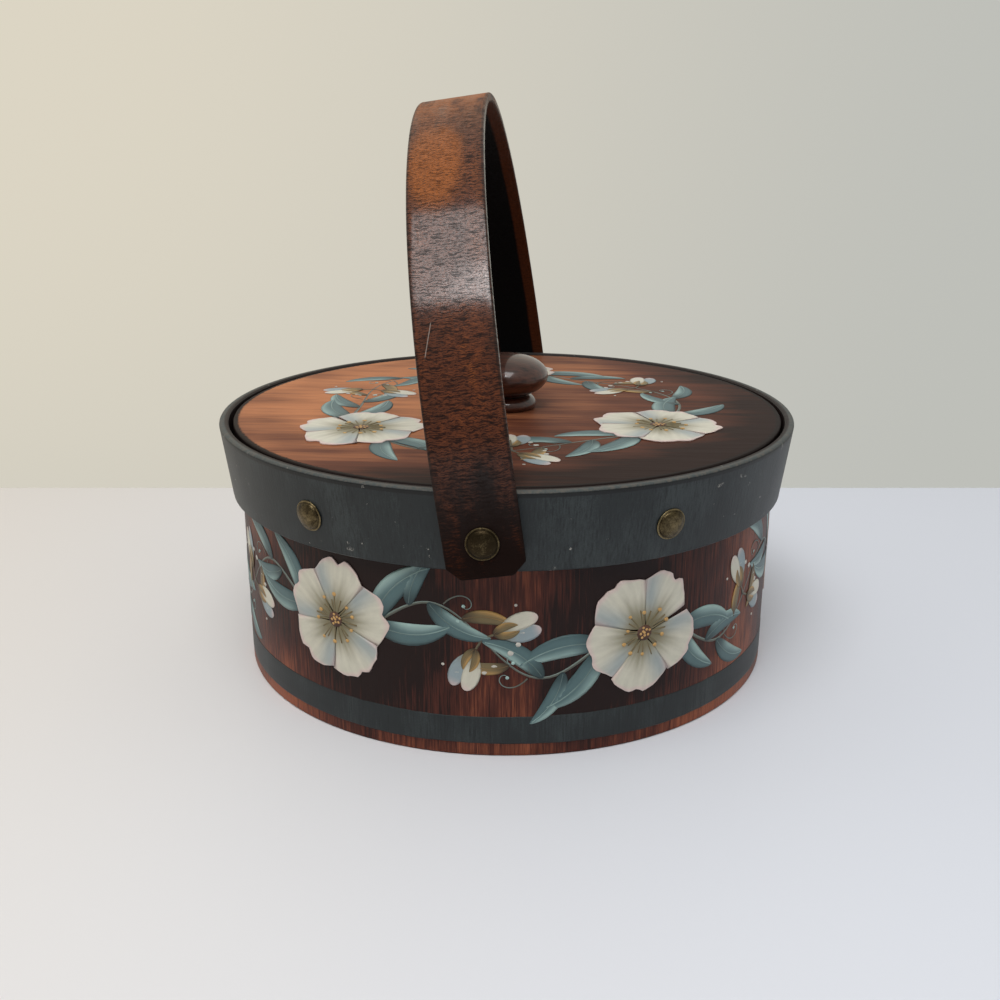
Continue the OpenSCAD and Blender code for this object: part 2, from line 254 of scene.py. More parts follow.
class Finish:
    """One material or world, its nodes laid by expressions."""

    def __init__(self, name, kind="materials"):
        self.material = getattr(bpy.data, kind).new(name)
        self.material.use_nodes = True
        self.tree = self.material.node_tree
        self.tree.nodes.clear()

    def node(self, kind, settings, values, output=0):
        """Adds a node: first its settings, then the values or links of its sockets."""
        made = self.tree.nodes.new(kind)
        for name, setting in settings.items():
            if name == "stops":
                self.set_stops(made.color_ramp, setting)
            else:
                setattr(made, name, setting)
        for key, value in values.items():
            if isinstance(value, Value):
                self.tree.links.new(value.socket, made.inputs[key])
            else:
                made.inputs[key].default_value = value
        return Value(self, made.outputs[output]) if made.outputs else None

    def set_stops(self, ramp, stops):
        """Puts (place, colour) pairs on a colour ramp."""
        while len(ramp.elements) < len(stops):
            ramp.elements.new(1.0)
        for element, (place, shade) in zip(ramp.elements, stops):
            element.position = place
            element.color = (*shade, 1.0)

    def math(self, operation, first, second=0.0):
        return self.node("ShaderNodeMath", {"operation": operation}, {0: first, 1: second})

    def smooth(self, value, low, high):
        """0 below low, 1 above high, and a smooth step between; falling if low is above high."""
        return self.node("ShaderNodeMapRange", {"interpolation_type": "SMOOTHSTEP"},
                         {"Value": value, "From Min": low, "From Max": high})

    def noise(self, vector, scale, detail=2.0, roughness=0.5, distortion=0.0):
        return self.node("ShaderNodeTexNoise", {}, {
            "Vector": vector, "Scale": scale, "Detail": detail,
            "Roughness": roughness, "Distortion": distortion})

    def mix(self, factor, first, second):
        """A blend of two colours."""
        ends = [end if isinstance(end, Value) else (*end, 1.0) for end in (first, second)]
        return self.node("ShaderNodeMix", {"data_type": "RGBA"},
                         {0: factor, 6: ends[0], 7: ends[1]}, output=2)

    def ramp(self, value, *stops):
        return self.node("ShaderNodeValToRGB", {"stops": stops}, {"Fac": value})

    def place(self):
        """The point on the object, in millimetres."""
        point = self.node("ShaderNodeTexCoord", {}, {}, output=3)
        return self.node("ShaderNodeVectorMath", {"operation": "SCALE"}, {0: point, 3: 1 / MM})

    def attribute(self, name, output):
        return self.node("ShaderNodeAttribute", {"attribute_name": name}, {}, output=output)

    def stretch(self, vector, x, y, z):
        return self.node("ShaderNodeVectorMath", {"operation": "MULTIPLY"},
                         {0: vector, 1: (x, y, z)})

    def split(self, vector):
        """The three numbers of a vector."""
        first = self.node("ShaderNodeSeparateXYZ", {}, {"Vector": vector})
        return [Value(self, socket) for socket in first.socket.node.outputs]

    def join(self, x, y, z):
        return self.node("ShaderNodeCombineXYZ", {}, {"X": x, "Y": y, "Z": z})

    def bump(self, height, depth, strength=1.0):
        """Surface normals for a height of 0 to 1 over a depth in metres."""
        return self.node("ShaderNodeBump", {}, {
            "Strength": strength, "Distance": depth, "Height": height})

    def surface(self, **values):
        """Ends the material with a principled shader."""
        named = {name.replace("_", " "): value for name, value in values.items()}
        shader = self.node("ShaderNodeBsdfPrincipled", {}, named)
        self.node("ShaderNodeOutputMaterial", {}, {"Surface": shader})
        return self.material


def wear(node, material):
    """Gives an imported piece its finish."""
    piece = frame["nodes"][node]
    piece.data.materials.clear()
    piece.data.materials.append(material)


def radius_of(finish, x, y):
    return finish.math("SQRT", x * x + y * y)


def wall_finish(wood, brushwork):
    """Dark red stain with upright grain, darker round the garland, orange at the foot, and lighter towards
    -X and +X as a painted sheen.

    Round the garland the stain is darkened by distance from the nearest blossom, where the
    distance uses the angle round the wall wrapped to one repeat.
    """
    f = Finish("wall_stain")
    point = f.place()
    x, y, z = f.split(point)
    radius = radius_of(f, x, y)
    fibre = f.noise(f.stretch(point, 1, 1, 0.045), 1.15, 3, 0.65)
    pores = f.noise(f.stretch(point, 1, 1, 0.035), 3.4, 2, 0.6)
    cloud = f.noise(f.stretch(point, 1, 1, 0.45), 0.035, 3, 0.55)
    repeat = 2 * math.pi / brushwork.wall_blossoms
    angle = f.node("ShaderNodeMath", {"operation": "WRAP"}, {
        0: f.math("ARCTAN2", x, 0 - y) + repeat / 2, 1: repeat / 2, 2: -repeat / 2})
    sideways = angle * (WALL_RADIUS / MM)
    upward = z - brushwork.wall_height / MM
    near = f.smooth(f.math("SQRT", sideways * sideways * 0.45 + upward * upward)
                    + cloud * 22, 62, 26)
    foot = f.smooth(z + fibre * 2, 8, 3.5)
    # Painted sheen: the stain grows lighter towards -X and +X.
    sides = f.smooth(f.math("ABSOLUTE", x), 35, 95)
    tone = fibre * 0.8 + cloud * 0.8 + pores * 0.25 - 0.44 - near * 0.3 + foot * 0.08 + sides * 0.24
    stain = f.ramp(tone, (0.28, wood.wall_dark), (0.52, wood.wall_red), (0.82, wood.wall_light))
    dark_pores = f.smooth(pores, 0.42, 0.3)
    stain = f.mix(dark_pores * 0.6, stain, wood.wall_dark)
    seam = f.smooth(f.math("ABSOLUTE", x - 21 - z * 0.06 + fibre * 0.5), 0.45, 0.1)
    seam = seam * f.smooth(y, 20, 60)
    stain = f.mix(seam * 0.85, stain, wood.wall_dark)
    inner = f.smooth(radius, WALL_INNER_RADIUS / MM + 1.2, WALL_INNER_RADIUS / MM + 0.6)
    bare = f.mix(f.smooth(tone, 0.3, 0.8), wood.wall_red, wood.bare)
    height = pores * 0.6 + fibre * 0.6 - seam * 1.5
    return f.surface(
        Base_Color=f.mix(inner, stain, bare),
        Roughness=0.42 + 0.2 * fibre + 0.2 * inner,
        Specular_IOR_Level=0.14,
        Coat_Weight=0.14 - 0.14 * inner,
        Coat_Roughness=0.2,
        Normal=f.bump(height, 0.00012, 0.8))


def board_finish(wood):
    """Plain stained board with straight grain along X."""
    f = Finish("board_stain")
    point = f.place()
    fibre = f.noise(f.stretch(point, 0.03, 1, 1), 1.2, 3, 0.6)
    bands = f.noise(f.stretch(point, 0.012, 0.14, 0.14), 1.0, 2)
    tone = fibre * 0.6 + bands * 0.5
    return f.surface(
        Base_Color=f.ramp(tone, (0.3, wood.wall_red), (0.6, wood.bare)),
        Roughness=0.5 + 0.2 * fibre,
        Normal=f.bump(fibre, 0.0001, 0.6))


def lid_finish(wood):
    """Streaks along X from orange to purple-brown, lighter towards -X and +Y as a painted sheen, a smoky
    margin and a dark, ragged edge of stain and painted shade.
    """
    f = Finish("lid_stain")
    point = f.place()
    x, y, z = f.split(point)
    bands = f.noise(f.stretch(point, 0.008, 0.085, 0.085), 1.0, 3, 0.6, 0.3)
    streaks = f.noise(f.stretch(point, 0.02, 0.42, 0.42), 1.0, 3, 0.65)
    fibre = f.noise(f.stretch(point, 0.06, 1.9, 1.9), 1.0, 2, 0.6)
    cloud = f.noise(point, 0.022, 2, 0.5)
    radius = radius_of(f, x - LID_CENTRE.x / MM, y - LID_CENTRE.y / MM)
    margin = f.smooth(radius + cloud * 26, 88, 112)
    tone = bands * 0.36 + streaks * 0.18 + fibre * 0.14 + cloud * 0.4
    # Painted sheen: the tone rises towards -X and +Y.
    tone = tone + 0.03 - x * 0.0019 + y * 0.0013 - margin * 0.12
    stain = f.ramp(tone, (0.3, wood.lid_dark), (0.5, wood.lid_red), (0.72, wood.lid_light))
    dark = f.smooth(fibre, 0.4, 0.28)
    stain = f.mix(dark * 0.45, stain, wood.lid_dark)
    ragged = f.noise(point, 0.9, 3, 0.7)
    edge = f.smooth(radius + ragged * 2.4, LID_RADIUS / MM - 1.1, LID_RADIUS / MM - 0.3)
    below = f.smooth(z, LID_HIGH.z / MM - 0.6, LID_HIGH.z / MM - 0.9)
    side = f.smooth(radius, LID_RADIUS / MM - 2.5, LID_RADIUS / MM - 1.5)
    under = below * (1 - side)
    stain = f.mix(under, stain, f.mix(f.smooth(tone, 0.2, 0.6), wood.wall_red, wood.bare))
    # The ragged edge and the lid's side take a colour that is partly stain and partly painted shade of the
    # gap.
    stain = f.mix(f.math("MAXIMUM", edge, below * side), stain, wood.lid_edge_stain_and_shade)
    return f.surface(
        Base_Color=stain,
        Roughness=0.5 + 0.16 * streaks + 0.2 * under,
        Specular_IOR_Level=0.08,
        Coat_Weight=0.08 - 0.08 * under,
        Coat_Roughness=0.2,
        Normal=f.bump(fibre + streaks * 0.5, 0.0001, 0.5))


def strap_finish(wood, sizes):
    """Fine wavy grain across the strap, worn gold over the arch, black inside.

    The strap attribute gives millimetres along it and across it, and a side from -1 inside
    to 1 outside.
    """
    f = Finish("strap_stain")
    along, across, side = f.split(f.attribute("strap", 1))
    total = strap_length(sizes) / MM
    half_width = sizes.strap_width / MM / 2
    wave = f.noise(f.join(along * 0.1, across * 0.3, 3), 1.0, 2, 0.5)
    way = along + wave * 2.2 + across * 0.05
    lines = f.noise(f.join(way * 1.7, across * 0.2, 0), 1.0, 3, 0.7)
    pores = f.noise(f.join(way * 3.4, across * 0.7, 7), 1.0, 2, 0.7)
    speck = f.noise(f.join(along * 1.9, across * 1.4, 11), 1.0, 2, 0.6)
    cloud = f.noise(f.join(along * 0.03, across * 0.07, 5), 1.0, 2, 0.5)
    patch = f.noise(f.join(along * 0.05, across * 0.16, 9), 1.0, 3, 0.6)
    from_end = f.math("MINIMUM", along, total - along)
    low = f.smooth(from_end + cloud * 14, 66, 12)
    worn = f.smooth(f.math("ABSOLUTE", along - total / 2) + patch * 60, 92, 42)
    tone = lines * 0.4 + cloud * 0.4 + patch * 0.45 - 0.14 - low * 0.3 + worn * 0.08
    stain = f.ramp(tone, (0.24, wood.strap_dark), (0.52, wood.strap_red), (0.9, wood.strap_gold))
    gold = worn * f.smooth(patch, 0.36, 0.56)
    grip = radius_of(f, (from_end - 139) * 0.042, (across + 3.5) * 0.1)
    gold = f.math("MAXIMUM", gold, f.smooth(grip + patch * 0.4, 1.4, 0.8))
    stain = f.mix(gold * 0.92, stain, wood.strap_gold)
    dark_lines = f.smooth(lines, 0.52, 0.4)
    stain = f.mix(dark_lines * (0.84 - 0.5 * worn - 0.28 * gold), stain, wood.strap_dark)
    dark_pores = f.smooth(pores, 0.52, 0.4)
    stain = f.mix(dark_pores * (0.84 - 0.55 * worn - 0.25 * gold), stain, wood.strap_dark)
    long_lines = f.noise(f.join(way * 1.9, across * 0.03, 15), 1.0, 2, 0.6)
    stain = f.mix(f.smooth(long_lines, 0.5, 0.36) * worn * 0.75, stain, wood.strap_dark)
    rim = f.smooth(f.math("ABSOLUTE", across) + pores * 0.5, half_width - 0.9, half_width - 0.3)
    stain = f.mix(rim * 0.6, stain, wood.strap_dark)
    scratch = f.smooth(f.math("ABSOLUTE", across + 9.3 - (along - 70) * 0.27), 0.2, 0.08)
    scratch = scratch * f.smooth(f.math("ABSOLUTE", along - 74.5), 5.5, 4.5)
    stain = f.mix(scratch * 0.42, stain, linear(190, 176, 164))
    inside = f.smooth(side, -0.55, -0.75)
    edge_distance = half_width - f.math("ABSOLUTE", across)
    margin = f.smooth(edge_distance + patch * 1.2, 5.9, 4.7)
    inner = f.mix(margin, wood.strap_inside, f.mix(lines * 0.8, wood.strap_dark, wood.strap_red))
    height = lines * 0.6 + pores * 0.5 + speck * 0.5
    broken = f.smooth(speck * 0.5 + pores * 0.5, 0.36, 0.56)
    varnish = (1 - low) * (1 - 0.75 * worn) * (1 - 0.6 * dark_lines) * (0.35 + 0.65 * broken)
    return f.surface(
        Base_Color=f.mix(inside, stain, inner),
        Roughness=0.42 + 0.2 * pores + 0.2 * low,
        Specular_IOR_Level=0.07,
        Coat_Weight=varnish * (1 - inside),
        Coat_Roughness=0.15,
        Normal=f.bump(height, 0.0003, 0.8))


def knob_finish(wood):
    """Glossy dark stain with faint turning rings and a little grain."""
    f = Finish("knob_stain")
    point = f.place()
    x, y, z = f.split(point)
    radius = radius_of(f, x - LID_CENTRE.x / MM, y - LID_CENTRE.y / MM)
    rings = f.noise(f.join(radius * 0.7, z * 0.9, 0), 1.0, 2)
    grain = f.noise(f.stretch(point, 0.08, 0.6, 0.6), 1.0, 3, 0.6)
    pores = f.noise(f.stretch(point, 0.12, 1.6, 1.6), 1.0, 2, 0.6)
    stain = f.ramp(grain * 0.7 + rings * 0.3, (0.3, wood.knob_dark), (0.68, wood.knob_red))
    stain = f.mix(f.smooth(pores, 0.42, 0.32) * 0.5, stain, wood.knob_dark)
    return f.surface(
        Base_Color=stain,
        Roughness=0.3 + 0.12 * grain,
        Specular_IOR_Level=0.3,
        Coat_Weight=0.8 + 0.2 * rings,
        Coat_Roughness=0.08,
        Normal=f.bump(rings + pores * 0.3, 0.00008, 0.5))


def slate_layers(f, point, paint):
    """Slate paint's colour over its grain, with thin places, and the brush marks."""
    grain = f.noise(f.stretch(point, 1, 1, 0.07), 1.5, 3, 0.65)
    brush = f.noise(f.stretch(point, 1, 1, 0.5), 0.05, 3, 0.6)
    fleck = f.noise(point, 2.2, 2, 0.6)
    thin = f.smooth(brush * 0.55 + grain * 0.35 + fleck * 0.2, 0.5, 0.72)
    colours = f.mix(thin * 0.45, paint.slate, paint.slate_light)
    dark = f.smooth(grain, 0.45, 0.32)
    return f.mix(dark * 0.55, colours, linear(18, 21, 22)), grain, fleck


def band_finish(paint, wood):
    """Slate paint with a rubbed pale upper edge, a dark line under it, chips and a seam."""
    f = Finish("band_paint")
    point = f.place()
    x, y, z = f.split(point)
    colours, grain, fleck = slate_layers(f, point, paint)
    radius = radius_of(f, x, y)
    top = BAND_HIGH.z / MM
    rough = f.noise(point, 0.7, 3, 0.7)
    line = f.smooth(z + rough * 0.4, top - 2.1, top - 1.5) * f.smooth(z, top - 0.3, top - 0.9)
    colours = f.mix(line * 0.85, colours, linear(12, 13, 13))
    rubbed = f.smooth(z + rough * 0.5 + fleck * 0.15, top - 0.4, top)
    tint = f.mix(f.smooth(rough, 0.35, 0.7), paint.slate_light, paint.worn)
    colours = f.mix(rubbed * 0.8, colours, tint)
    inner_edge = f.smooth(radius + fleck * 0.8, BAND_HIGH.x / MM - 1.2, BAND_HIGH.x / MM - 1.9)
    colours = f.mix(rubbed * inner_edge * 0.9, colours, wood.wall_dark)
    speck = f.node("ShaderNodeTexVoronoi", {"feature": "F1"}, {"Vector": point, "Scale": 0.17})
    chips = f.smooth(speck + fleck * 0.4, 0.29, 0.24) * f.smooth(rough, 0.54, 0.6)
    colours = f.mix(chips * 0.8, colours, paint.chip)
    scuff = f.smooth(f.noise(f.stretch(point, 0.16, 0.16, 0.22), 1.0, 2), 0.7, 0.76)
    scuff = scuff * f.smooth(fleck, 0.42, 0.6)
    colours = f.mix(scuff * 0.5, colours, paint.chip)
    seam = f.smooth(f.math("ABSOLUTE", x + 27 + z * 0.22), 0.45, 0.12) * f.smooth(y, 20, 60)
    colours = f.mix(seam * 0.8, colours, linear(14, 14, 15))
    inside = f.smooth(radius - (z - BAND_LOW.z / MM) * 0.127, WALL_RADIUS / MM + 0.7,
                      WALL_RADIUS / MM + 0.4)
    inside = inside * f.smooth(z, top - 0.4, top - 0.8)
    colours = f.mix(inside, colours, wood.wall_dark)
    height = grain * 0.7 + fleck * 0.2 - chips * 0.8 - seam * 2
    return f.surface(
        Base_Color=colours,
        Roughness=0.42 + 0.18 * grain + 0.15 * rubbed,
        Specular_IOR_Level=0.3,
        Coat_Weight=0.12,
        Coat_Roughness=0.3,
        Normal=f.bump(height, 0.00014, 0.7))


def stripe_finish(paint):
    """The band's slate paint, brushed round the foot."""
    f = Finish("stripe_paint")
    point = f.place()
    colours, grain, fleck = slate_layers(f, point, paint)
    return f.surface(
        Base_Color=colours,
        Roughness=0.44 + 0.16 * grain,
        Specular_IOR_Level=0.3,
        Coat_Weight=0.12,
        Coat_Roughness=0.3,
        Normal=f.bump(grain * 0.7 + fleck * 0.2, 0.0001, 0.7))


def brushwork_finish():
    """Brushed paint: the stroke's own colour, with brush hairs along it and fine mottling."""
    f = Finish("brushed_paint")
    own = f.attribute("paint", 0)
    along, across, _ = f.split(f.node("ShaderNodeTexCoord", {}, {}, output=2))
    hairs = f.noise(f.join(along * 2.5, across * 16, 0), 1.0, 2, 0.6)
    mottle = f.noise(f.place(), 0.55, 3, 0.6)
    value = 0.84 + 0.2 * hairs + 0.12 * mottle
    shaded = f.node("ShaderNodeVectorMath", {"operation": "SCALE"}, {0: own, 3: value})
    return f.surface(
        Base_Color=shaded,
        Roughness=0.44 + 0.12 * hairs,
        Specular_IOR_Level=0.35,
        Coat_Weight=0.12,
        Coat_Roughness=0.25,
        Normal=f.bump(hairs, 0.00008, 0.6))


def brass_finish(name, paint, polish):
    """Tarnished brass. The rub attribute, 0 to 1, is how much the metal is rubbed bright."""
    f = Finish(name)
    point = f.place()
    rub = f.attribute("rub", 2)
    tarnish = f.noise(point, 0.5, 3, 0.65)
    pits = f.noise(point, 2.6, 3, 0.7)
    shine = f.smooth(tarnish * 0.5 + pits * 0.5 + rub * 0.45 + polish, 0.42, 1.0)
    return f.surface(
        Base_Color=f.mix(shine, paint.brass_dark, paint.brass),
        Metallic=1.0,
        Roughness=0.4 - 0.14 * shine,
        Normal=f.bump(pits + tarnish, 0.00012, 0.6))


def leather_finish(wood):
    """Dark leather with a fine grain."""
    f = Finish("washer_leather")
    point = f.place()
    grain = f.noise(point, 2.0, 3, 0.6)
    return f.surface(
        Base_Color=f.ramp(grain, (0.35, wood.strap_dark), (0.7, wood.leather)),
        Roughness=0.6 + 0.2 * grain,
        Normal=f.bump(grain, 0.0002, 0.7))


def steel_finish(paint):
    """Bright steel with turning marks."""
    f = Finish("screw_steel")
    point = f.place()
    marks = f.noise(f.stretch(point, 0.3, 0.3, 4), 1.0, 2)
    return f.surface(
        Base_Color=f.mix(marks * 0.5, paint.steel, linear(96, 96, 98)),
        Metallic=1.0,
        Roughness=0.3 + 0.2 * marks,
        Normal=f.bump(marks, 0.00005, 0.5))


def grid_quads(rows, columns, close_rows=False):
    """Quads of a grid of points numbered row by row, whose columns close into rings."""
    row = np.arange(rows if close_rows else rows - 1)[:, None] * columns
    ahead_row = (row + columns) % (rows * columns)
    column = np.arange(columns)[None, :]
    ahead = (column + 1) % columns
    corners = [row + column, row + ahead, ahead_row + ahead, ahead_row + column]
    return np.stack(corners, axis=-1).reshape(-1, 4)


def make_piece(name, points, quads, triangles, material, attributes=(), uv=None):
    """A smooth piece from points and faces, with its point attributes and its UV map.

    Each attribute is (name, kind, values), with one row of values for each point.
    """
    mesh = bpy.data.meshes.new(name)
    corners = np.concatenate([quads.ravel(), triangles.ravel()]).astype(np.int32)
    sizes = np.concatenate([np.full(len(quads), 4), np.full(len(triangles), 3)])
    mesh.vertices.add(len(points))
    mesh.vertices.foreach_set("co", np.asarray(points, np.float32).ravel())
    mesh.loops.add(len(corners))
    mesh.loops.foreach_set("vertex_index", corners)
    mesh.polygons.add(len(sizes))
    mesh.polygons.foreach_set("loop_start", (np.cumsum(sizes) - sizes).astype(np.int32))
    mesh.polygons.foreach_set("use_smooth", np.ones(len(sizes), bool))
    mesh.update(calc_edges=True)
    if mesh.validate():
        raise RuntimeError(f"{name} has faces that aren't sound")
    for label, kind, values in attributes:
        field = {"FLOAT": "value", "FLOAT_VECTOR": "vector", "FLOAT_COLOR": "color"}[kind]
        layer = mesh.attributes.new(label, kind, "POINT")
        layer.data.foreach_set(field, np.asarray(values, np.float32).ravel())
    if uv is not None:
        layer = mesh.uv_layers.new(name="stroke")
        layer.data.foreach_set("uv", uv[corners].astype(np.float32).ravel())
    mesh.materials.append(material)
    piece = bpy.data.objects.new(name, mesh)
    bpy.context.scene.collection.objects.link(piece)
    return piece


def capped(rings):
    """Points, quads and triangles of a tube of rings whose ends close by fans to their middles."""
    rows, sides = rings.shape[:2]
    points = np.vstack([rings.reshape(-1, 3), rings[0].mean(0), rings[-1].mean(0)])
    side = np.arange(sides)
    ahead = (side + 1) % sides
    last = (rows - 1) * sides
    low = np.stack([np.full(sides, rows * sides), ahead, side], 1)
    high = np.stack([np.full(sides, rows * sides + 1), last + side, last + ahead], 1)
    return points, grid_quads(rows, sides), np.vstack([low, high])


def turned(profile, sides):
    """Rings of a profile of (radius, height) turned about Z, from its lowest point up."""
    angle = np.arange(sides) * (2 * np.pi / sides)
    radius, height = np.asarray(profile).T[:, :, None]
    return np.stack([radius * np.cos(angle), radius * np.sin(angle), height + 0 * angle], -1)


def strap_length(sizes):
    """Length of the strap's middle line: two straight legs and a half circle."""
    return 2 * (sizes.strap_tail + sizes.strap_leg) + math.pi * strap_radius(sizes)


def strap_radius(sizes):
    return HANDLE_HIGH.y - sizes.strap_thickness / 2


def strap_section(sizes):
    """Loop of (across, out) round the strap: a rectangle with its corners rounded off."""
    edge = sizes.strap_edge
    wide, thick = sizes.strap_width / 2, sizes.strap_thickness / 2
    flat = np.linspace(edge - wide, wide - edge, 15)[1:-1]
    bend = np.linspace(0, np.pi / 2, 5)

    def corner(across, out, start):
        return np.stack([across + edge * np.cos(start + bend), out + edge * np.sin(start + bend)], 1)

    def face(across, out):
        return np.stack([across, np.full(len(across), out)], 1)

    return np.vstack([
        face(flat, -thick), corner(wide - edge, edge - thick, -np.pi / 2),
        corner(wide - edge, thick - edge, 0), face(flat[::-1], thick),
        corner(edge - wide, thick - edge, np.pi / 2), corner(edge - wide, edge - thick, np.pi)])


def strap_rings(sizes):
    """The strap's section carried up one leg, over the half circle and down the other.

    With s along the middle line, the middle lies on the leg at height s - tail, and on the
    arch at angle (s - leg) / radius. The corners are clipped by narrowing the section near
    each end, and the whole leans about the rivets' line.
    """
    section = strap_section(sizes)
    total, radius = strap_length(sizes), strap_radius(sizes)
    straight = sizes.strap_tail + sizes.strap_leg
    ends = np.array([0.0, 0.12, 0.35, 0.7]) * MM
    s = np.concatenate([ends, np.arange(1.2 * MM, total - 1.1 * MM, 1.0 * MM), total - ends[::-1]])
    angle = np.clip((s - straight) / radius, 0, np.pi)
    rise = np.minimum(s, total - s)
    height = np.where((s > straight) & (s < total - straight),
                      sizes.strap_leg + radius * np.sin(angle), rise - sizes.strap_tail)
    depth = -radius * np.cos(angle)
    eased = np.sqrt(np.clip(1 - (1 - np.clip(rise / (0.7 * MM), 0, 1)) ** 2, 0.0, 1.0))
    clip = np.minimum(1, (sizes.strap_width / 2 - sizes.strap_clip + rise) / (sizes.strap_width / 2))
    narrow = (clip * (1 - 0.03 * (1 - eased)))[:, None]
    thin = (1 - 0.3 * (1 - eased))[:, None]
    across, out = section.T[:, None, :] * np.ones((1, len(s), 1))
    x, out = -across * narrow, out * thin
    y = depth[:, None] - out * np.cos(angle)[:, None]
    z = height[:, None] + out * np.sin(angle)[:, None]
    lean = sizes.strap_lean
    rings = np.stack([x * math.cos(lean) - z * math.sin(lean), y,
                      x * math.sin(lean) + z * math.cos(lean) + PIVOT_HEIGHT], -1)
    marks = np.stack([s[:, None] + 0 * x, x, out / (sizes.strap_thickness / 2) * MM], -1) / MM
    return rings, marks


def knob_profile(sizes):
    """The knob's outline: a rounded foot, a belly and a crown, each part of an ellipse."""
    radius = (KNOB_HIGH.x - KNOB_LOW.x) / 2
    neck, foot = sizes.knob_neck_radius, sizes.knob_foot_radius
    belly, widest = sizes.knob_belly_height, sizes.knob_foot_height
    top = KNOB_HIGH.z - KNOB_LOW.z
    t = np.linspace(-np.pi / 4, np.pi / 2, 22)
    below = widest / math.sin(math.pi / 4)
    foot_height = widest + np.where(t < 0, below, sizes.knob_neck_height - widest) * np.sin(t)
    foot_curve = np.stack([neck + (foot - neck) * np.cos(t), foot_height], 1)
    reach = math.acos(neck / radius)
    drop = (belly - sizes.knob_neck_height) / math.sin(reach)
    t = np.linspace(-reach, 0, 22)[1:]
    belly_curve = np.stack([radius * np.cos(t), belly + drop * np.sin(t)], 1)
    t = np.linspace(0, np.pi / 2, 34)[1:-1]
    crown_curve = np.stack([radius * np.cos(t), belly + (top - belly) * np.sin(t)], 1)
    near_axis = np.array([[0.02 * MM, top]])
    return np.vstack([foot_curve, belly_curve, crown_curve, near_axis])


def rivet_profile(sizes, total):
    """Outline of a rivet from its hammered tail to its domed head, the seat at height 0."""
    head, tall = sizes.rivet_head_radius, sizes.rivet_head_height
    shank, tail = sizes.rivet_shank_radius, sizes.rivet_tail_radius
    foot = tall - total
    flange = 0.55 * MM
    t = np.linspace(-np.pi / 2, np.pi / 2, 7)
    rim = np.stack([head - flange / 2 + flange / 2 * np.cos(t), flange / 2 * (1 + np.sin(t))], 1)
    dome_radius = head - flange * 1.2
    t = np.linspace(0, 1, 16)[:-1]
    dome = np.stack([dome_radius * np.cos(t * np.pi / 2) ** 0.85,
                     flange * 0.8 + (tall - flange * 0.8) * np.sin(t * np.pi / 2)], 1)
    return np.vstack([
        [[0.02 * MM, foot], [tail * 0.8, foot], [tail, foot + 0.2 * MM],
         [shank, foot + 1.0 * MM], [shank, 0]], rim, dome, [[0.02 * MM, tall]]])


def set_rivet(name, angle, tilt, seat, total, rng, material):
    """A rivet turned about its axis, which points out of the bucket, its head hammered.

    Each dent lowers the dome by its depth times exp(-(distance / spread) squared).
    """
    sizes = bpy.context.scene.bucket_sizes
    rings = turned(rivet_profile(sizes, total), 40)
    flat, height = rings[..., :2], rings[..., 2]
    dents = rng.uniform(-0.75, 0.75, (9, 2)) * sizes.rivet_head_radius
    depth = rng.uniform(0.03, 0.09, 9) * MM
    spread = rng.uniform(0.7, 1.5, 9) * MM
    away = ((flat[:, :, None, :] - dents) ** 2).sum(-1)
    on_dome = np.clip(height / (0.8 * MM), 0, 1)
    rings[..., 2] -= (depth * np.exp(-away / spread ** 2)).sum(-1) * on_dome
    around = np.hypot(flat[..., 0], flat[..., 1]) / sizes.rivet_head_radius
    rub = np.where(around > 0.93, 0.6, 0.35 * (1 - around) + 0.1 * (height > 0))
    out = np.array([math.cos(angle) * math.cos(tilt), math.sin(angle) * math.cos(tilt), -math.sin(tilt)])
    sideways = np.array([-math.sin(angle), math.cos(angle), 0.0])
    axes = np.stack([sideways, np.cross(out, sideways), out])
    points, quads, triangles = capped(rings @ axes + np.asarray(seat))
    rub = np.concatenate([rub.ravel(), [0.0, 0.5]])
    return make_piece(name, points, quads, triangles, material, [("rub", "FLOAT", rub)])


def half_cosine(count):
    """Shares from 0 to 1 that lie closer together near both ends."""
    return (1 - np.cos(np.linspace(0, np.pi, count))) / 2


def bend(start, toward, end, count):
    """Points of a curve from start to end, drawn towards one point between them."""
    v = half_cosine(count)[:, None]
    start, toward, end = (np.asarray(p, float) for p in (start, toward, end))
    return (1 - v) ** 2 * start + 2 * v * (1 - v) * toward + v ** 2 * end


def leftward(spine):
    """Unit vectors to the left of a spine's direction."""
    forward = np.gradient(spine, axis=0)
    forward /= np.linalg.norm(forward, axis=1)[:, None]
    return np.stack([-forward[:, 1], forward[:, 0]], 1)


def heading(angle):
    return np.array([math.cos(angle), math.sin(angle)])


def shade(first, second, share):
    """A blend of two colours by an array of shares."""
    share = np.clip(share, 0, 1)[..., None]
    return np.asarray(first) * (1 - share) + np.asarray(second) * share


def step(value, low, high):
    """0 below low, 1 above high, and a smooth step between."""
    t = np.clip((value - low) / (high - low), 0, 1)
    return t * t * (3 - 2 * t)


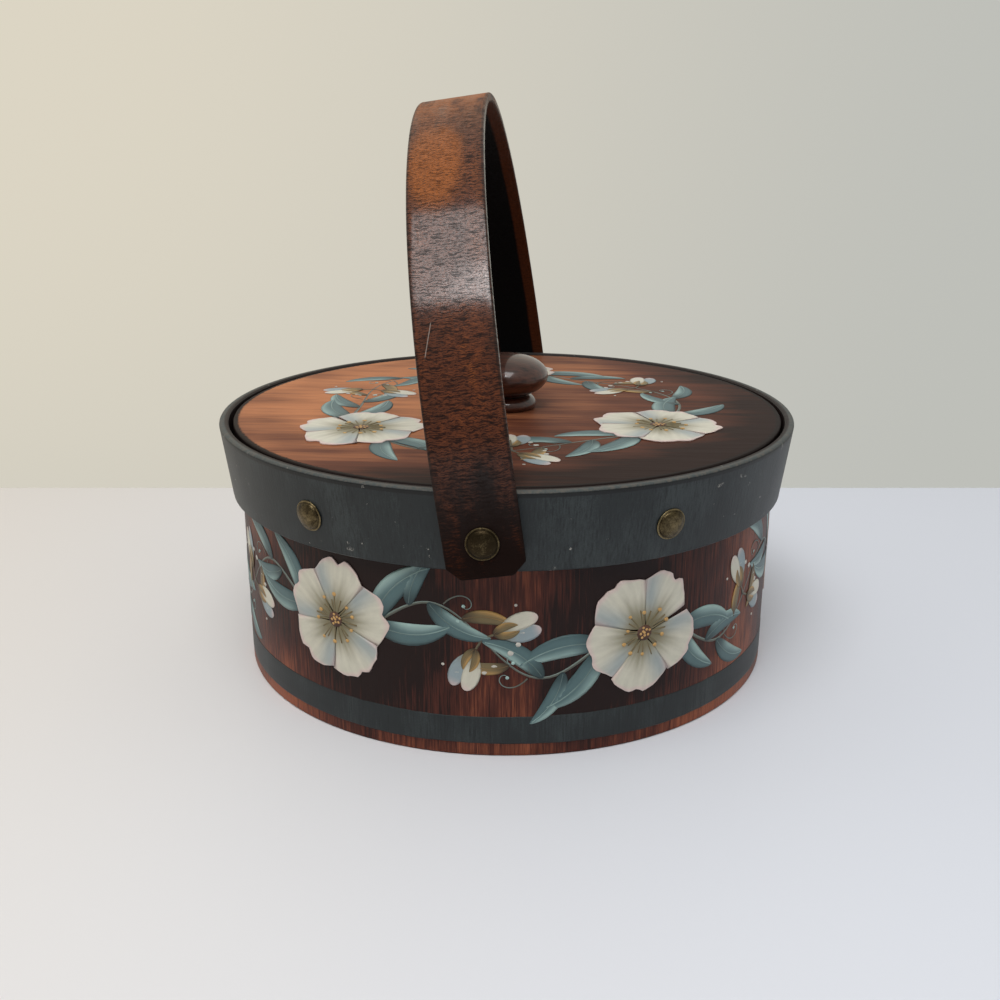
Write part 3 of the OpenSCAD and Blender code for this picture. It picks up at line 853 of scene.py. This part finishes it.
class Brushwork:
    """Painted strokes on a flat chart of a surface, gathered into one piece.

    Every stroke is a thin closed lens on a grid of v along it and u across it, from 1 at the
    left to -1 at the right. Its upper side stands at level + crown * sqrt(1 - u squared), and
    its lower side sinks just into the surface.
    """

    HALF_SIDES = 8

    def __init__(self, place, settings, paint, rng):
        self.place = place
        self.step = settings.level_step
        self.crown = settings.crown
        self.paint = paint
        self.rng = rng
        self.points, self.quads, self.colours, self.uv = [], [], [], []
        self.count = 0

    def lens(self, flat, level, tint):
        """Adds one stroke from its chart points and colours, both on the grid of v and u."""
        rows, columns = flat.shape[:2]
        half = columns - 1
        u = np.linspace(1, -1, columns)
        ring = np.r_[0:columns, half - 1:0:-1]
        upper = np.r_[np.ones(columns), -np.ones(half - 1)]
        swell = np.sqrt(np.clip(1 - u[ring] ** 2, 0, 1))
        base = self.step * level + 0.03 * MM
        rise = np.where(upper > 0, self.crown, base + 0.05 * MM) * upper * swell
        around = flat[:, ring]
        self.points.append(self.place(around[..., 0], around[..., 1], base + rise).reshape(-1, 3))
        sides = 2 * half
        first = np.arange(1, half - 1)
        cap = np.stack([first, first + 1, sides - first - 1, sides - first], 1)
        last = (rows - 1) * sides
        quads = np.vstack([grid_quads(rows, sides), cap[:, ::-1], cap + last])
        ends = np.array([[0, 1, sides - 1], [half - 1, half, half + 1]])
        triangles = np.vstack([ends[:, ::-1], ends + last])
        padded = np.hstack([triangles, -np.ones((len(triangles), 1), int) - self.count])
        self.quads.append(np.vstack([quads, padded]) + self.count)
        self.colours.append(tint[:, ring].reshape(-1, 3))
        v = np.broadcast_to(half_cosine(rows)[:, None], (rows, sides))
        self.uv.append(np.stack([v, np.broadcast_to(u[ring] / 2 + 0.5, v.shape)], -1).reshape(-1, 2))
        self.count += rows * sides

    def grid(self, rows, columns):
        """Shares v along and u across a stroke's grid."""
        return half_cosine(rows)[:, None], np.linspace(1, -1, columns)[None, :]

    def stroke(self, spine, half_width, level, tint, columns=None):
        """A stroke of a given half width along a spine. tint is a function of v and u."""
        columns = columns or self.HALF_SIDES + 1
        v, u = self.grid(len(spine), columns)
        flat = spine[:, None, :] + (u * half_width[:, None])[..., None] * leftward(spine)[:, None, :]
        self.lens(flat, level, tint(v, u) + np.zeros((*flat.shape[:2], 1)))

    def petal(self, root, angle, reach, width, level):
        """A broad petal with a notched, slightly ruffled tip.

        Sideways it reaches width * u * v^0.7 * (1 - 0.22 v^4), and outwards
        reach * v * (1 - 0.36 |u|^2.4 v^2), less a notch of exp(-(u / 0.16) squared).
        """
        rng, paint = self.rng, self.paint
        v, u = self.grid(22, 17)
        phase = rng.uniform(0, 2 * np.pi, 3)
        ruffle = 0.018 * np.sin(7 * u + phase[0]) + 0.012 * np.sin(13 * u + phase[1])
        notch = 0.085 * np.exp(-((u - rng.uniform(-0.12, 0.12)) / 0.16) ** 2)
        outward = reach * v * (1 - 0.36 * np.abs(u) ** 2.4 * v ** 2 + (ruffle - notch) * v ** 6)
        lean = rng.uniform(-0.08, 0.08)
        sideways = width / 2 * (u * v ** 0.7 * (1.1 - 0.22 * v ** 4) + lean * v ** 2)
        along, left = heading(angle), heading(angle + np.pi / 2)
        flat = np.asarray(root) + outward[..., None] * along + sideways[..., None] * left
        streak = 0.10 * np.sin(19 * u + 2.5 * np.sin(3 * v + phase[2])) * v
        body = step(v + streak + 0.12 * np.abs(u), 0.12, 0.72)
        tint = shade(paint.petal_shade, paint.cream, body)
        tint = shade(tint, paint.petal_cool, 0.75 * step(u + 0.5 * (1 - v), 0.25, 1.0) * step(v, 0.1, 0.5))
        fold = np.exp(-((u + 0.25 + 0.1 * np.sin(4 * v + phase[0])) / 0.12) ** 2)
        tint = shade(tint, paint.petal_shade, 0.35 * fold * (1 - step(v, 0.35, 0.9)))
        rim = np.maximum(step(np.abs(u), 0.82, 1.0) * step(v, 0.3, 0.7), step(v, 0.86, 1.0))
        tint = shade(tint, paint.blush, 0.85 * rim)
        self.lens(flat, level, tint * (1 + 0.05 * np.sin(31 * u + phase[1]) * v)[..., None])

    def blossom(self, centre, size, angle, level):
        """Five overlapping petals, rays from the throat and a ring of stamens round an eye."""
        rng, paint = self.rng, self.paint
        centre = np.asarray(centre)
        for index in (0, 2, 4, 1, 3):
            around = angle + index * 2 * np.pi / 5 + rng.uniform(-0.06, 0.06)
            reach = size * rng.uniform(0.93, 1.04)
            self.petal(centre + 0.1 * size * heading(around), around, reach * 0.92,
                       size * rng.uniform(1.1, 1.2), level)
            level += 1
        level += 1
        for index in range(20):
            around = angle + (index + rng.uniform(-0.3, 0.3)) * 2 * np.pi / 20
            out = size * rng.uniform(0.3, 0.44)
            start, end = centre + 0.06 * size * heading(around), centre + out * heading(around)
            self.stroke(bend(start, (start + end) / 2, end, 5), size * 0.011 * np.ones(5), level,
                        lambda v, u: shade(paint.petal_shade, paint.olive, v), 3)
            if index % 2 == 0:
                self.dot(end, size * rng.uniform(0.026, 0.036), level + 1, paint.gold)
        self.dot(centre, size * 0.13, level + 1, paint.umber, 9)
        for index in range(9):
            around = index * 2.4
            spot = centre + size * 0.034 * math.sqrt(index) * heading(around)
            self.dot(spot, size * 0.022, level + 2, paint.gold)

    def dot(self, centre, radius, level, tone, rows=6):
        """A round dab of paint: half width sqrt(radius squared - distance squared)."""
        reach = np.cos(np.linspace(np.pi * 0.94, np.pi * 0.06, rows)) * radius
        spine = np.asarray(centre) + reach[:, None] * np.array([1.0, 0.0])
        half_width = np.sqrt(radius ** 2 - reach ** 2)
        light = np.minimum(1.0, np.asarray(tone) * 1.35 + 0.02)
        self.stroke(spine, half_width, level,
                    lambda v, u: shade(tone, light, 0.5 + 0.5 * u * (1 - v)), 5)

    def leaf(self, root, angle, reach, width, level, curl=0.2, kind="teal"):
        """A comma stroke: full near its root, pointed at its tip, paler at its left side."""
        paint, rng = self.paint, self.rng
        dark, tone, light = {
            "teal": (paint.teal_dark, paint.teal, paint.teal_light),
            "olive": (paint.olive_dark, paint.olive, paint.gold),
        }[kind]
        root = np.asarray(root)
        end = root + reach * heading(angle + curl)
        spine = bend(root, root + 0.55 * reach * heading(angle - curl * 0.6), end, 18)
        v = half_cosine(18)
        half_width = width / 2 * (v ** 0.55 * (1 - v) ** 0.75 / 0.498 + 0.012)
        phase = rng.uniform(0, 6)

        def tint(v, u):
            body = shade(dark, tone, step(v, 0.0, 0.4))
            bright = step(u + 0.18 * np.sin(5 * v + phase) + 0.12 * np.sin(23 * u + phase), 0.0, 0.95)
            body = shade(body, light, bright * step(v, 0.12, 0.45) * (1 - 0.5 * step(v, 0.75, 1)))
            return body * (1 - 0.28 * step(-u, 0.45, 1.0))[..., None]

        self.stroke(spine, half_width, level, tint)
        self.stroke(spine[2:-2], np.full(14, width * 0.022), level + 1,
                    lambda v, u: shade(dark, light, 0.25 + 0.55 * v), 3)

    def bud(self, root, angle, reach, level):
        """Two folded petals in a small two-leaved cup."""
        paint = self.paint
        root = np.asarray(root)
        for side, tone in ((-0.16, paint.petal_cool), (0.14, paint.cream)):
            end = root + reach * heading(angle + side)
            spine = bend(root, root + 0.5 * reach * heading(angle + 3.2 * side), end, 14)
            v = half_cosine(14)
            half_width = reach * 0.27 * (v ** 0.7 * (1 - v) ** 0.5 / 0.56 + 0.02)
            self.stroke(spine, half_width, level,
                        lambda v, u, tone=tone: shade(shade(paint.petal_shade, tone, step(v, 0.0, 0.5)),
                                                      paint.blush, 0.7 * step(v, 0.8, 1)))
            level += 1
        for side in (-0.42, 0.42):
            self.leaf(root - 0.12 * reach * heading(angle), angle + side, reach * 0.62,
                      reach * 0.24, level, curl=-side * 0.7, kind="olive")
            level += 1

    def tendril(self, root, angle, size, hand, level):
        """A fine curl: the heading turns faster and faster as the line runs on."""
        paint = self.paint
        v = np.linspace(0, 1, 26)
        way = angle + hand * 5.4 * v ** 1.7
        pace = size * (1 - 0.72 * v) / 12
        spine = np.asarray(root) + np.cumsum(pace[:, None] * np.stack([np.cos(way), np.sin(way)], 1), axis=0)
        self.stroke(spine, size * 0.018 * (1.25 - v), level,
                    lambda v, u: shade(paint.stem, paint.teal_light, v), 3)
        self.dot(spine[-1], size * 0.05, level + 1, paint.teal_light)

    def sprig(self, path, size, level):
        """The garland between two blossoms: vine, leaves on both sides, buds and berries."""
        rng, paint = self.rng, self.paint
        steps = np.gradient(path, axis=0)
        angles = np.arctan2(steps[:, 1], steps[:, 0])
        self.stroke(path, size * (0.016 + 0.006 * np.cos(np.linspace(0, 2 * np.pi, len(path)))), level,
                    lambda v, u: shade(paint.stem, paint.teal_light, 0.35 * (u > 0.2) + 0 * v), 5)
        last = len(path) - 1
        marks = ((0.04, 1, 1.0, 0.62), (0.05, -1, 0.92, 0.66), (0.2, 1, 0.78, 0.9), (0.28, -1, 0.8, 0.8),
                 (0.41, 1, 0.56, 0.9))
        for share, hand, scale, spread in marks:
            for near in (True, False):
                index = int(round((share if near else 1 - share) * last))
                way = angles[index] + (0 if near else np.pi)
                tilt = hand * (spread + rng.uniform(-0.08, 0.08))
                reach = size * scale * rng.uniform(0.94, 1.06)
                self.leaf(path[index], way + tilt, reach, reach * 0.34, level + 1 + (hand > 0),
                          curl=-0.28 * hand, kind="olive" if scale < 0.6 else "teal")
        middle = last // 2
        for hand in (1, -1):
            way = angles[middle] + hand * 1.25
            stalk = path[middle] + size * 0.2 * heading(way)
            spine = bend(path[middle], (path[middle] + stalk) / 2, stalk, 6)
            self.stroke(spine, np.full(6, size * 0.014), level + 1,
                        lambda v, u: shade(paint.stem, paint.olive, v), 3)
            self.bud(stalk, way - hand * 0.15, size * 0.48, level + 2)
        for share, hand in ((0.34, 1), (0.34, -1)):
            for near in (True, False):
                index = int(round((share if near else 1 - share) * last))
                way = angles[index] + (0 if near else np.pi) - hand * 1.15
                self.tendril(path[index], way, size * 0.42, hand, level + 1)
        for hand in (1, -1):
            for index in range(5):
                way = angles[middle] + hand * (0.35 + 0.33 * index)
                spot = path[middle] + size * (0.36 + 0.05 * index) * heading(way)
                self.dot(spot, size * (0.034 - 0.004 * index), level + 2, paint.chip)

    def piece(self, name, material):
        """All strokes so far as one piece."""
        quads = np.vstack(self.quads)
        three = quads[:, 3] < 0
        colours = np.vstack(self.colours)
        colours = np.hstack([colours, np.ones((len(colours), 1))])
        return make_piece(name, np.vstack(self.points), quads[~three], quads[three][:, :3], material,
                          [("paint", "FLOAT_COLOR", colours)], np.vstack(self.uv))


def on_wall(across, up, height):
    """Chart of the wall: arc length to the right of the front, and height above the floor."""
    angle = across / WALL_RADIUS
    out = WALL_RADIUS + height
    return np.stack([out * np.sin(angle), -out * np.cos(angle), up + 0 * out], -1)


def on_lid(x, y, height):
    """Chart of the lid: X and Y from its centre."""
    return np.stack([LID_CENTRE.x + x, LID_CENTRE.y + y, LID_HIGH.z + height + 0 * x], -1)


class BucketOperator(bpy.types.Operator):
    """Shared options of the bucket's operators."""

    bl_options = {"REGISTER", "UNDO"}


class BUCKET_OT_finish_wall(BucketOperator):
    """Stain the bent wall and the bottom board."""

    bl_idname = "bucket.finish_wall"
    bl_label = "Finish wall and bottom"

    def execute(self, context):
        scene = context.scene
        wear("side_wall", wall_finish(scene.bucket_wood, scene.bucket_brushwork))
        wear("bottom_board", board_finish(scene.bucket_wood))
        return {"FINISHED"}


class BUCKET_OT_finish_band(BucketOperator):
    """Paint the rim band and brush the stripe round the foot."""

    bl_idname = "bucket.finish_band"
    bl_label = "Finish band and stripe"

    def execute(self, context):
        scene = context.scene
        wear("rim_band", band_finish(scene.bucket_paint, scene.bucket_wood))
        points, quads = self.stripe(scene.bucket_sizes)
        none = np.zeros((0, 3), int)
        stripe = make_piece("foot_stripe", points, quads, none, stripe_finish(scene.bucket_paint))
        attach(stripe, "bucket")
        return {"FINISHED"}

    def stripe(self, sizes):
        """A thin film of paint round the wall, whose two edges waver by sums of sines."""
        angle = np.arange(720) * (2 * np.pi / 720)
        rng = np.random.default_rng(5)

        def waver(size):
            turns = np.array([3, 7, 13, 22, 41, 67, 97, 140])
            heights = rng.uniform(0.4, 1.0, len(turns)) * size / np.sqrt(turns)
            return (heights * np.sin(angle[:, None] * turns + rng.uniform(0, 6, len(turns)))).sum(1)

        low = sizes.stripe_low + waver(0.3 * MM)
        high = sizes.stripe_high + waver(0.28 * MM)
        share = np.array([0.02, 0.5, 0.98, 1.0, 0.97, 0.66, 0.33, 0.03, 0.0])
        film = np.array([-0.05, -0.05, -0.05, 0.0, 0.06, 0.06, 0.06, 0.06, 0.0]) * MM
        height = low[:, None] + (high - low)[:, None] * share
        radius = WALL_RADIUS + film
        rings = np.stack([radius * np.cos(angle)[:, None], radius * np.sin(angle)[:, None], height], -1)
        return rings.reshape(-1, 3), grid_quads(len(angle), len(share), close_rows=True)


class BUCKET_OT_set_rivets(BucketOperator):
    """Set the six hammered rivets, their burrs and the leather washers."""

    bl_idname = "bucket.set_rivets"
    bl_label = "Set rivets"

    def execute(self, context):
        scene = context.scene
        sizes, paint = scene.bucket_sizes, scene.bucket_paint
        head = brass_finish("rivet_brass", paint, 0.0)
        worn_head = brass_finish("rivet_brass_dark", paint, -0.16)
        burr = brass_finish("burr_brass", paint, 0.18)
        leather = leather_finish(scene.bucket_wood)
        rng = np.random.default_rng(11)
        total = HANDLE_RIVET_HIGH.y - HANDLE_RIVET_LOW.y
        reach = -HANDLE_RIVET_LOW.y - sizes.rivet_head_height
        for side, angle in (("front", -np.pi / 2), ("rear", np.pi / 2)):
            seat = (0, math.copysign(reach, angle), PIVOT_HEIGHT)
            self.rivet(f"handle_rivet_{side}", angle, 0.0, seat, total, rng, worn_head)
            wear(f"handle_burr_{side}", burr)
            wear(f"handle_washer_{side}", leather)
        slope = sizes.band_flare / (BAND_HIGH.z - BAND_LOW.z)
        radius = BAND_HIGH.x - slope * (BAND_HIGH.z - PIVOT_HEIGHT)
        through = (radius - WALL_INNER_RADIUS) * math.hypot(1, slope)
        total = through + sizes.burr_thickness + sizes.rivet_head_height + 1.0 * MM
        for corner in BAND_RIVETS:
            low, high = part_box(f"band_rivet_{corner}")
            middle = (low + high) / 2
            angle = math.atan2(middle.y, middle.x)
            seat = (radius * math.cos(angle), radius * math.sin(angle), PIVOT_HEIGHT)
            self.rivet(f"band_rivet_{corner}", angle, math.atan(slope), seat, total, rng, head)
            wear(f"band_burr_{corner}", burr)
        return {"FINISHED"}

    def rivet(self, node, angle, tilt, seat, total, rng, material):
        piece = set_rivet("hammered_" + node, angle, tilt, seat, total, rng, material)
        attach(piece, "bucket")
        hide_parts(node)


class BUCKET_OT_bend_handle(BucketOperator):
    """Bend the strap handle."""

    bl_idname = "bucket.bend_handle"
    bl_label = "Bend handle"

    def execute(self, context):
        scene = context.scene
        rings, marks = strap_rings(scene.bucket_sizes)
        points, quads, triangles = capped(rings)
        marks = np.vstack([marks.reshape(-1, 3), marks[0].mean(0), marks[-1].mean(0)])
        stain = strap_finish(scene.bucket_wood, scene.bucket_sizes)
        strap = make_piece("strap_handle", points, quads, triangles, stain,
                           [("strap", "FLOAT_VECTOR", marks)])
        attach(strap, "handle")
        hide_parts("handle")
        return {"FINISHED"}


class BUCKET_OT_finish_lid(BucketOperator):
    """Stain the lid and finish the screw under it."""

    bl_idname = "bucket.finish_lid"
    bl_label = "Finish lid"

    def execute(self, context):
        scene = context.scene
        wear("lid_panel", lid_finish(scene.bucket_wood))
        wear("knob_screw", steel_finish(scene.bucket_paint))
        return {"FINISHED"}


class BUCKET_OT_turn_knob(BucketOperator):
    """Turn the knob in the middle of the lid."""

    bl_idname = "bucket.turn_knob"
    bl_label = "Turn knob"

    def execute(self, context):
        scene = context.scene
        rings = turned(knob_profile(scene.bucket_sizes), 96)
        rings += np.array([LID_CENTRE.x, LID_CENTRE.y, KNOB_LOW.z])
        knob = make_piece("turned_knob", *capped(rings), knob_finish(scene.bucket_wood))
        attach(knob, "lid")
        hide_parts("knob")
        return {"FINISHED"}


class BUCKET_OT_paint_garland(BucketOperator):
    """Brush the garland of blossoms and leaves round the wall."""

    bl_idname = "bucket.paint_garland"
    bl_label = "Paint wall garland"

    def execute(self, context):
        scene = context.scene
        look, paint = scene.bucket_brushwork, scene.bucket_paint
        material = brushwork_finish()
        rng = np.random.default_rng(21)
        leaves = Brushwork(on_wall, look, paint, rng)
        blossoms = Brushwork(on_wall, look, paint, rng)
        repeat = 2 * math.pi * WALL_RADIUS / look.wall_blossoms
        for index in range(look.wall_blossoms):
            hand = 1 if index % 2 else -1
            centre = np.array([(index + 0.5) * repeat, look.wall_height + hand * 0.8 * MM])
            blossoms.blossom(centre, look.wall_petal, rng.uniform(0, 1.2), 6)
            leaves.sprig(self.vine(centre, repeat, hand, look), look.leaf, 0)
        for work, name in ((leaves, "garland_leaves"), (blossoms, "garland_blossoms")):
            piece = work.piece(name, material)
            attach(piece, "bucket")
        return {"FINISHED"}

    def vine(self, centre, repeat, hand, look):
        """A path from one blossom to the next that swings down and up, or up and down."""
        s = np.linspace(0, 1, 40)
        across = centre[0] + repeat * (0.1 + 0.8 * s)
        up = centre[1] + hand * look.wall_swing * np.sin(2 * np.pi * s) * (0.35 + 0.65 * np.sin(np.pi * s))
        return np.stack([across, up - hand * 1.6 * MM * s], 1)


class BUCKET_OT_paint_wreath(BucketOperator):
    """Brush the wreath of blossoms and leaves on the lid."""

    bl_idname = "bucket.paint_wreath"
    bl_label = "Paint lid wreath"

    def execute(self, context):
        scene = context.scene
        look, paint = scene.bucket_brushwork, scene.bucket_paint
        material = brushwork_finish()
        rng = np.random.default_rng(34)
        leaves = Brushwork(on_lid, look, paint, rng)
        blossoms = Brushwork(on_lid, look, paint, rng)
        share = 2 * math.pi / look.lid_blossoms
        for index in range(look.lid_blossoms):
            start = look.lid_turn + index * share
            blossoms.blossom(look.lid_ring * heading(start), look.lid_petal, rng.uniform(0, 1.2), 6)
            s = np.linspace(0, 1, 60)
            angle = start + share * (0.09 + 0.82 * s)
            ring = look.lid_ring + 5.5 * MM * np.sin(2 * np.pi * s)
            path = np.stack([ring * np.cos(angle), ring * np.sin(angle)], 1)
            leaves.sprig(path, look.leaf * 1.05, 0)
        for work, name in ((leaves, "wreath_leaves"), (blossoms, "wreath_blossoms")):
            piece = work.piece(name, material)
            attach(piece, "lid")
        return {"FINISHED"}


class BUCKET_OT_set_stage(BucketOperator):
    """Set the table, the backdrop, the lamps, the sky and the camera."""

    bl_idname = "bucket.set_stage"
    bl_label = "Set stage"

    def execute(self, context):
        scene = context.scene
        stage = scene.bucket_stage
        self.camera(scene, stage)
        self.table(stage)
        self.backdrop(stage)
        self.lamps(stage)
        self.sky(scene, stage)
        scene.view_settings.view_transform = "Standard"
        return {"FINISHED"}

    def camera(self, scene, stage):
        camera = bpy.data.objects.new("camera", bpy.data.cameras.new("camera"))
        scene.collection.objects.link(camera)
        camera.location = stage.camera_place
        camera.rotation_euler = (stage.camera_tilt, 0, stage.camera_turn)
        camera.data.lens = stage.camera_lens
        camera.data.clip_start = 0.01
        scene.camera = camera

    def sheet(self, name, corners, material):
        """A flat sheet of four corners."""
        mesh = bpy.data.meshes.new(name)
        mesh.from_pydata(corners, [], [(0, 1, 2, 3)])
        mesh.materials.append(material)
        sheet = bpy.data.objects.new(name, mesh)
        bpy.context.scene.collection.objects.link(sheet)
        return sheet

    def table(self, stage):
        reach = 8.0
        f = Finish("table_top")
        point = f.place()
        x, _, _ = f.split(point)
        # Painted light: the table top turns warmer towards -X.
        warm = f.smooth(x + f.noise(point, 0.004, 2) * 60, 200, -320)
        f.surface(
            Base_Color=f.mix(warm, stage.floor, stage.floor_warm_light),
            Roughness=0.5,
            Specular_IOR_Level=0.3)
        corners = [(-reach, -reach, 0), (reach, -reach, 0), (reach, reach, 0), (-reach, reach, 0)]
        self.sheet("table", corners, f.material)

    def backdrop(self, stage):
        """An upright sheet square to the camera's heading, clear when seen from behind."""
        toward = Vector((-math.sin(stage.camera_turn), math.cos(stage.camera_turn), 0))
        sideways = Vector((toward.y, -toward.x, 0))
        place = Vector(stage.camera_place)
        foot = Vector((place.x, place.y, 0)) + toward * stage.backdrop_distance
        reach, tall = 3.0, 3.0
        up = Vector((0, 0, tall))
        f = Finish("backdrop")
        x, _, z = f.split(f.place())
        # Painted light: a warm pool of light on the backdrop towards -X.
        glow = f.smooth(radius_of(f, x + 330, z - 260), 620, 60)
        plain = f.node("ShaderNodeEmission", {}, {
            "Color": f.mix(glow, stage.backdrop, stage.backdrop_warm_light)})
        clear = f.node("ShaderNodeBsdfTransparent", {}, {})
        behind = f.node("ShaderNodeNewGeometry", {}, {}, output=6)
        both = f.node("ShaderNodeMixShader", {}, {0: behind, 1: plain, 2: clear})
        f.node("ShaderNodeOutputMaterial", {}, {"Surface": both})
        left, right = foot - sideways * reach, foot + sideways * reach
        sheet = self.sheet("backdrop", [left, right, right + up, left + up], f.material)
        sheet.visible_shadow = False
        sheet.visible_diffuse = False

    def lamps(self, stage):
        target = Vector((0, 0, 0.1))
        for name, place, size, power in (
                ("key_lamp", (-0.1, -0.59, 1.25), 0.8, stage.key_power),
                ("glint_lamp", (-0.14, -0.79, 1.14), 0.3, stage.glint_power),
                ("side_lamp", (-1.1, 0.1, 0.75), 0.8, stage.side_power)):
            data = bpy.data.lights.new(name, "AREA")
            data.energy = power
            data.size = size
            lamp = bpy.data.objects.new(name, data)
            lamp.location = place
            lamp.rotation_euler = (target - Vector(place)).to_track_quat("-Z", "Y").to_euler()
            bpy.context.scene.collection.objects.link(lamp)

    def sky(self, scene, stage):
        """Even light from behind and above, and less from the front.

        The camera, gloss and glass see the backdrop's colour all round, dimmer in front.
        """
        f = Finish("sky", "worlds")
        scene.world = f.material
        x, y, z = f.split(f.node("ShaderNodeTexCoord", {}, {}, output=0))
        front = f.smooth(0 - y - z * 0.6, -0.1, 0.75)
        level = stage.sky + (stage.sky_front - stage.sky) * front
        light = f.node("ShaderNodeBackground", {}, {"Color": (1, 1, 1, 1), "Strength": level})
        seen = f.node("ShaderNodeBackground", {}, {
            "Color": (*stage.backdrop, 1), "Strength": 1 - stage.seen_dimming * front})
        rays = f.node("ShaderNodeLightPath", {}, {}).socket.node.outputs
        camera, glossy, through = (
            Value(f, rays[name]) for name in ("Is Camera Ray", "Is Glossy Ray", "Is Transmission Ray"))
        shown = f.math("MAXIMUM", camera, f.math("MAXIMUM", glossy, through))
        both = f.node("ShaderNodeMixShader", {}, {0: shown, 1: light, 2: seen})
        f.node("ShaderNodeOutputWorld", {}, {"Surface": both})


OPERATORS = (
    BUCKET_OT_set_stage,
    BUCKET_OT_finish_wall,
    BUCKET_OT_finish_band,
    BUCKET_OT_set_rivets,
    BUCKET_OT_bend_handle,
    BUCKET_OT_finish_lid,
    BUCKET_OT_turn_knob,
    BUCKET_OT_paint_garland,
    BUCKET_OT_paint_wreath,
)


class BUCKET_PT_panel(bpy.types.Panel):
    """The bucket's operators, in the order in which they run."""

    bl_idname = "BUCKET_PT_panel"
    bl_label = "Bentwood bucket"
    bl_space_type = "VIEW_3D"
    bl_region_type = "UI"
    bl_category = "Bucket"

    def draw(self, context):
        for operator in OPERATORS:
            self.layout.operator(operator.bl_idname)


CLASSES = (*SETTINGS.values(), *OPERATORS, BUCKET_PT_panel)


def register():
    for made in CLASSES:
        bpy.utils.register_class(made)
    for name, group in SETTINGS.items():
        setattr(bpy.types.Scene, name, PointerProperty(type=group))


def unregister():
    for name in SETTINGS:
        delattr(bpy.types.Scene, name)
    for made in reversed(CLASSES):
        bpy.utils.unregister_class(made)


def main():
    register()
    for operator in OPERATORS:
        group, name = operator.bl_idname.split(".")
        getattr(getattr(bpy.ops, group), name)()
    bpy.context.view_layer.update()


if __name__ == "__main__":
    main()
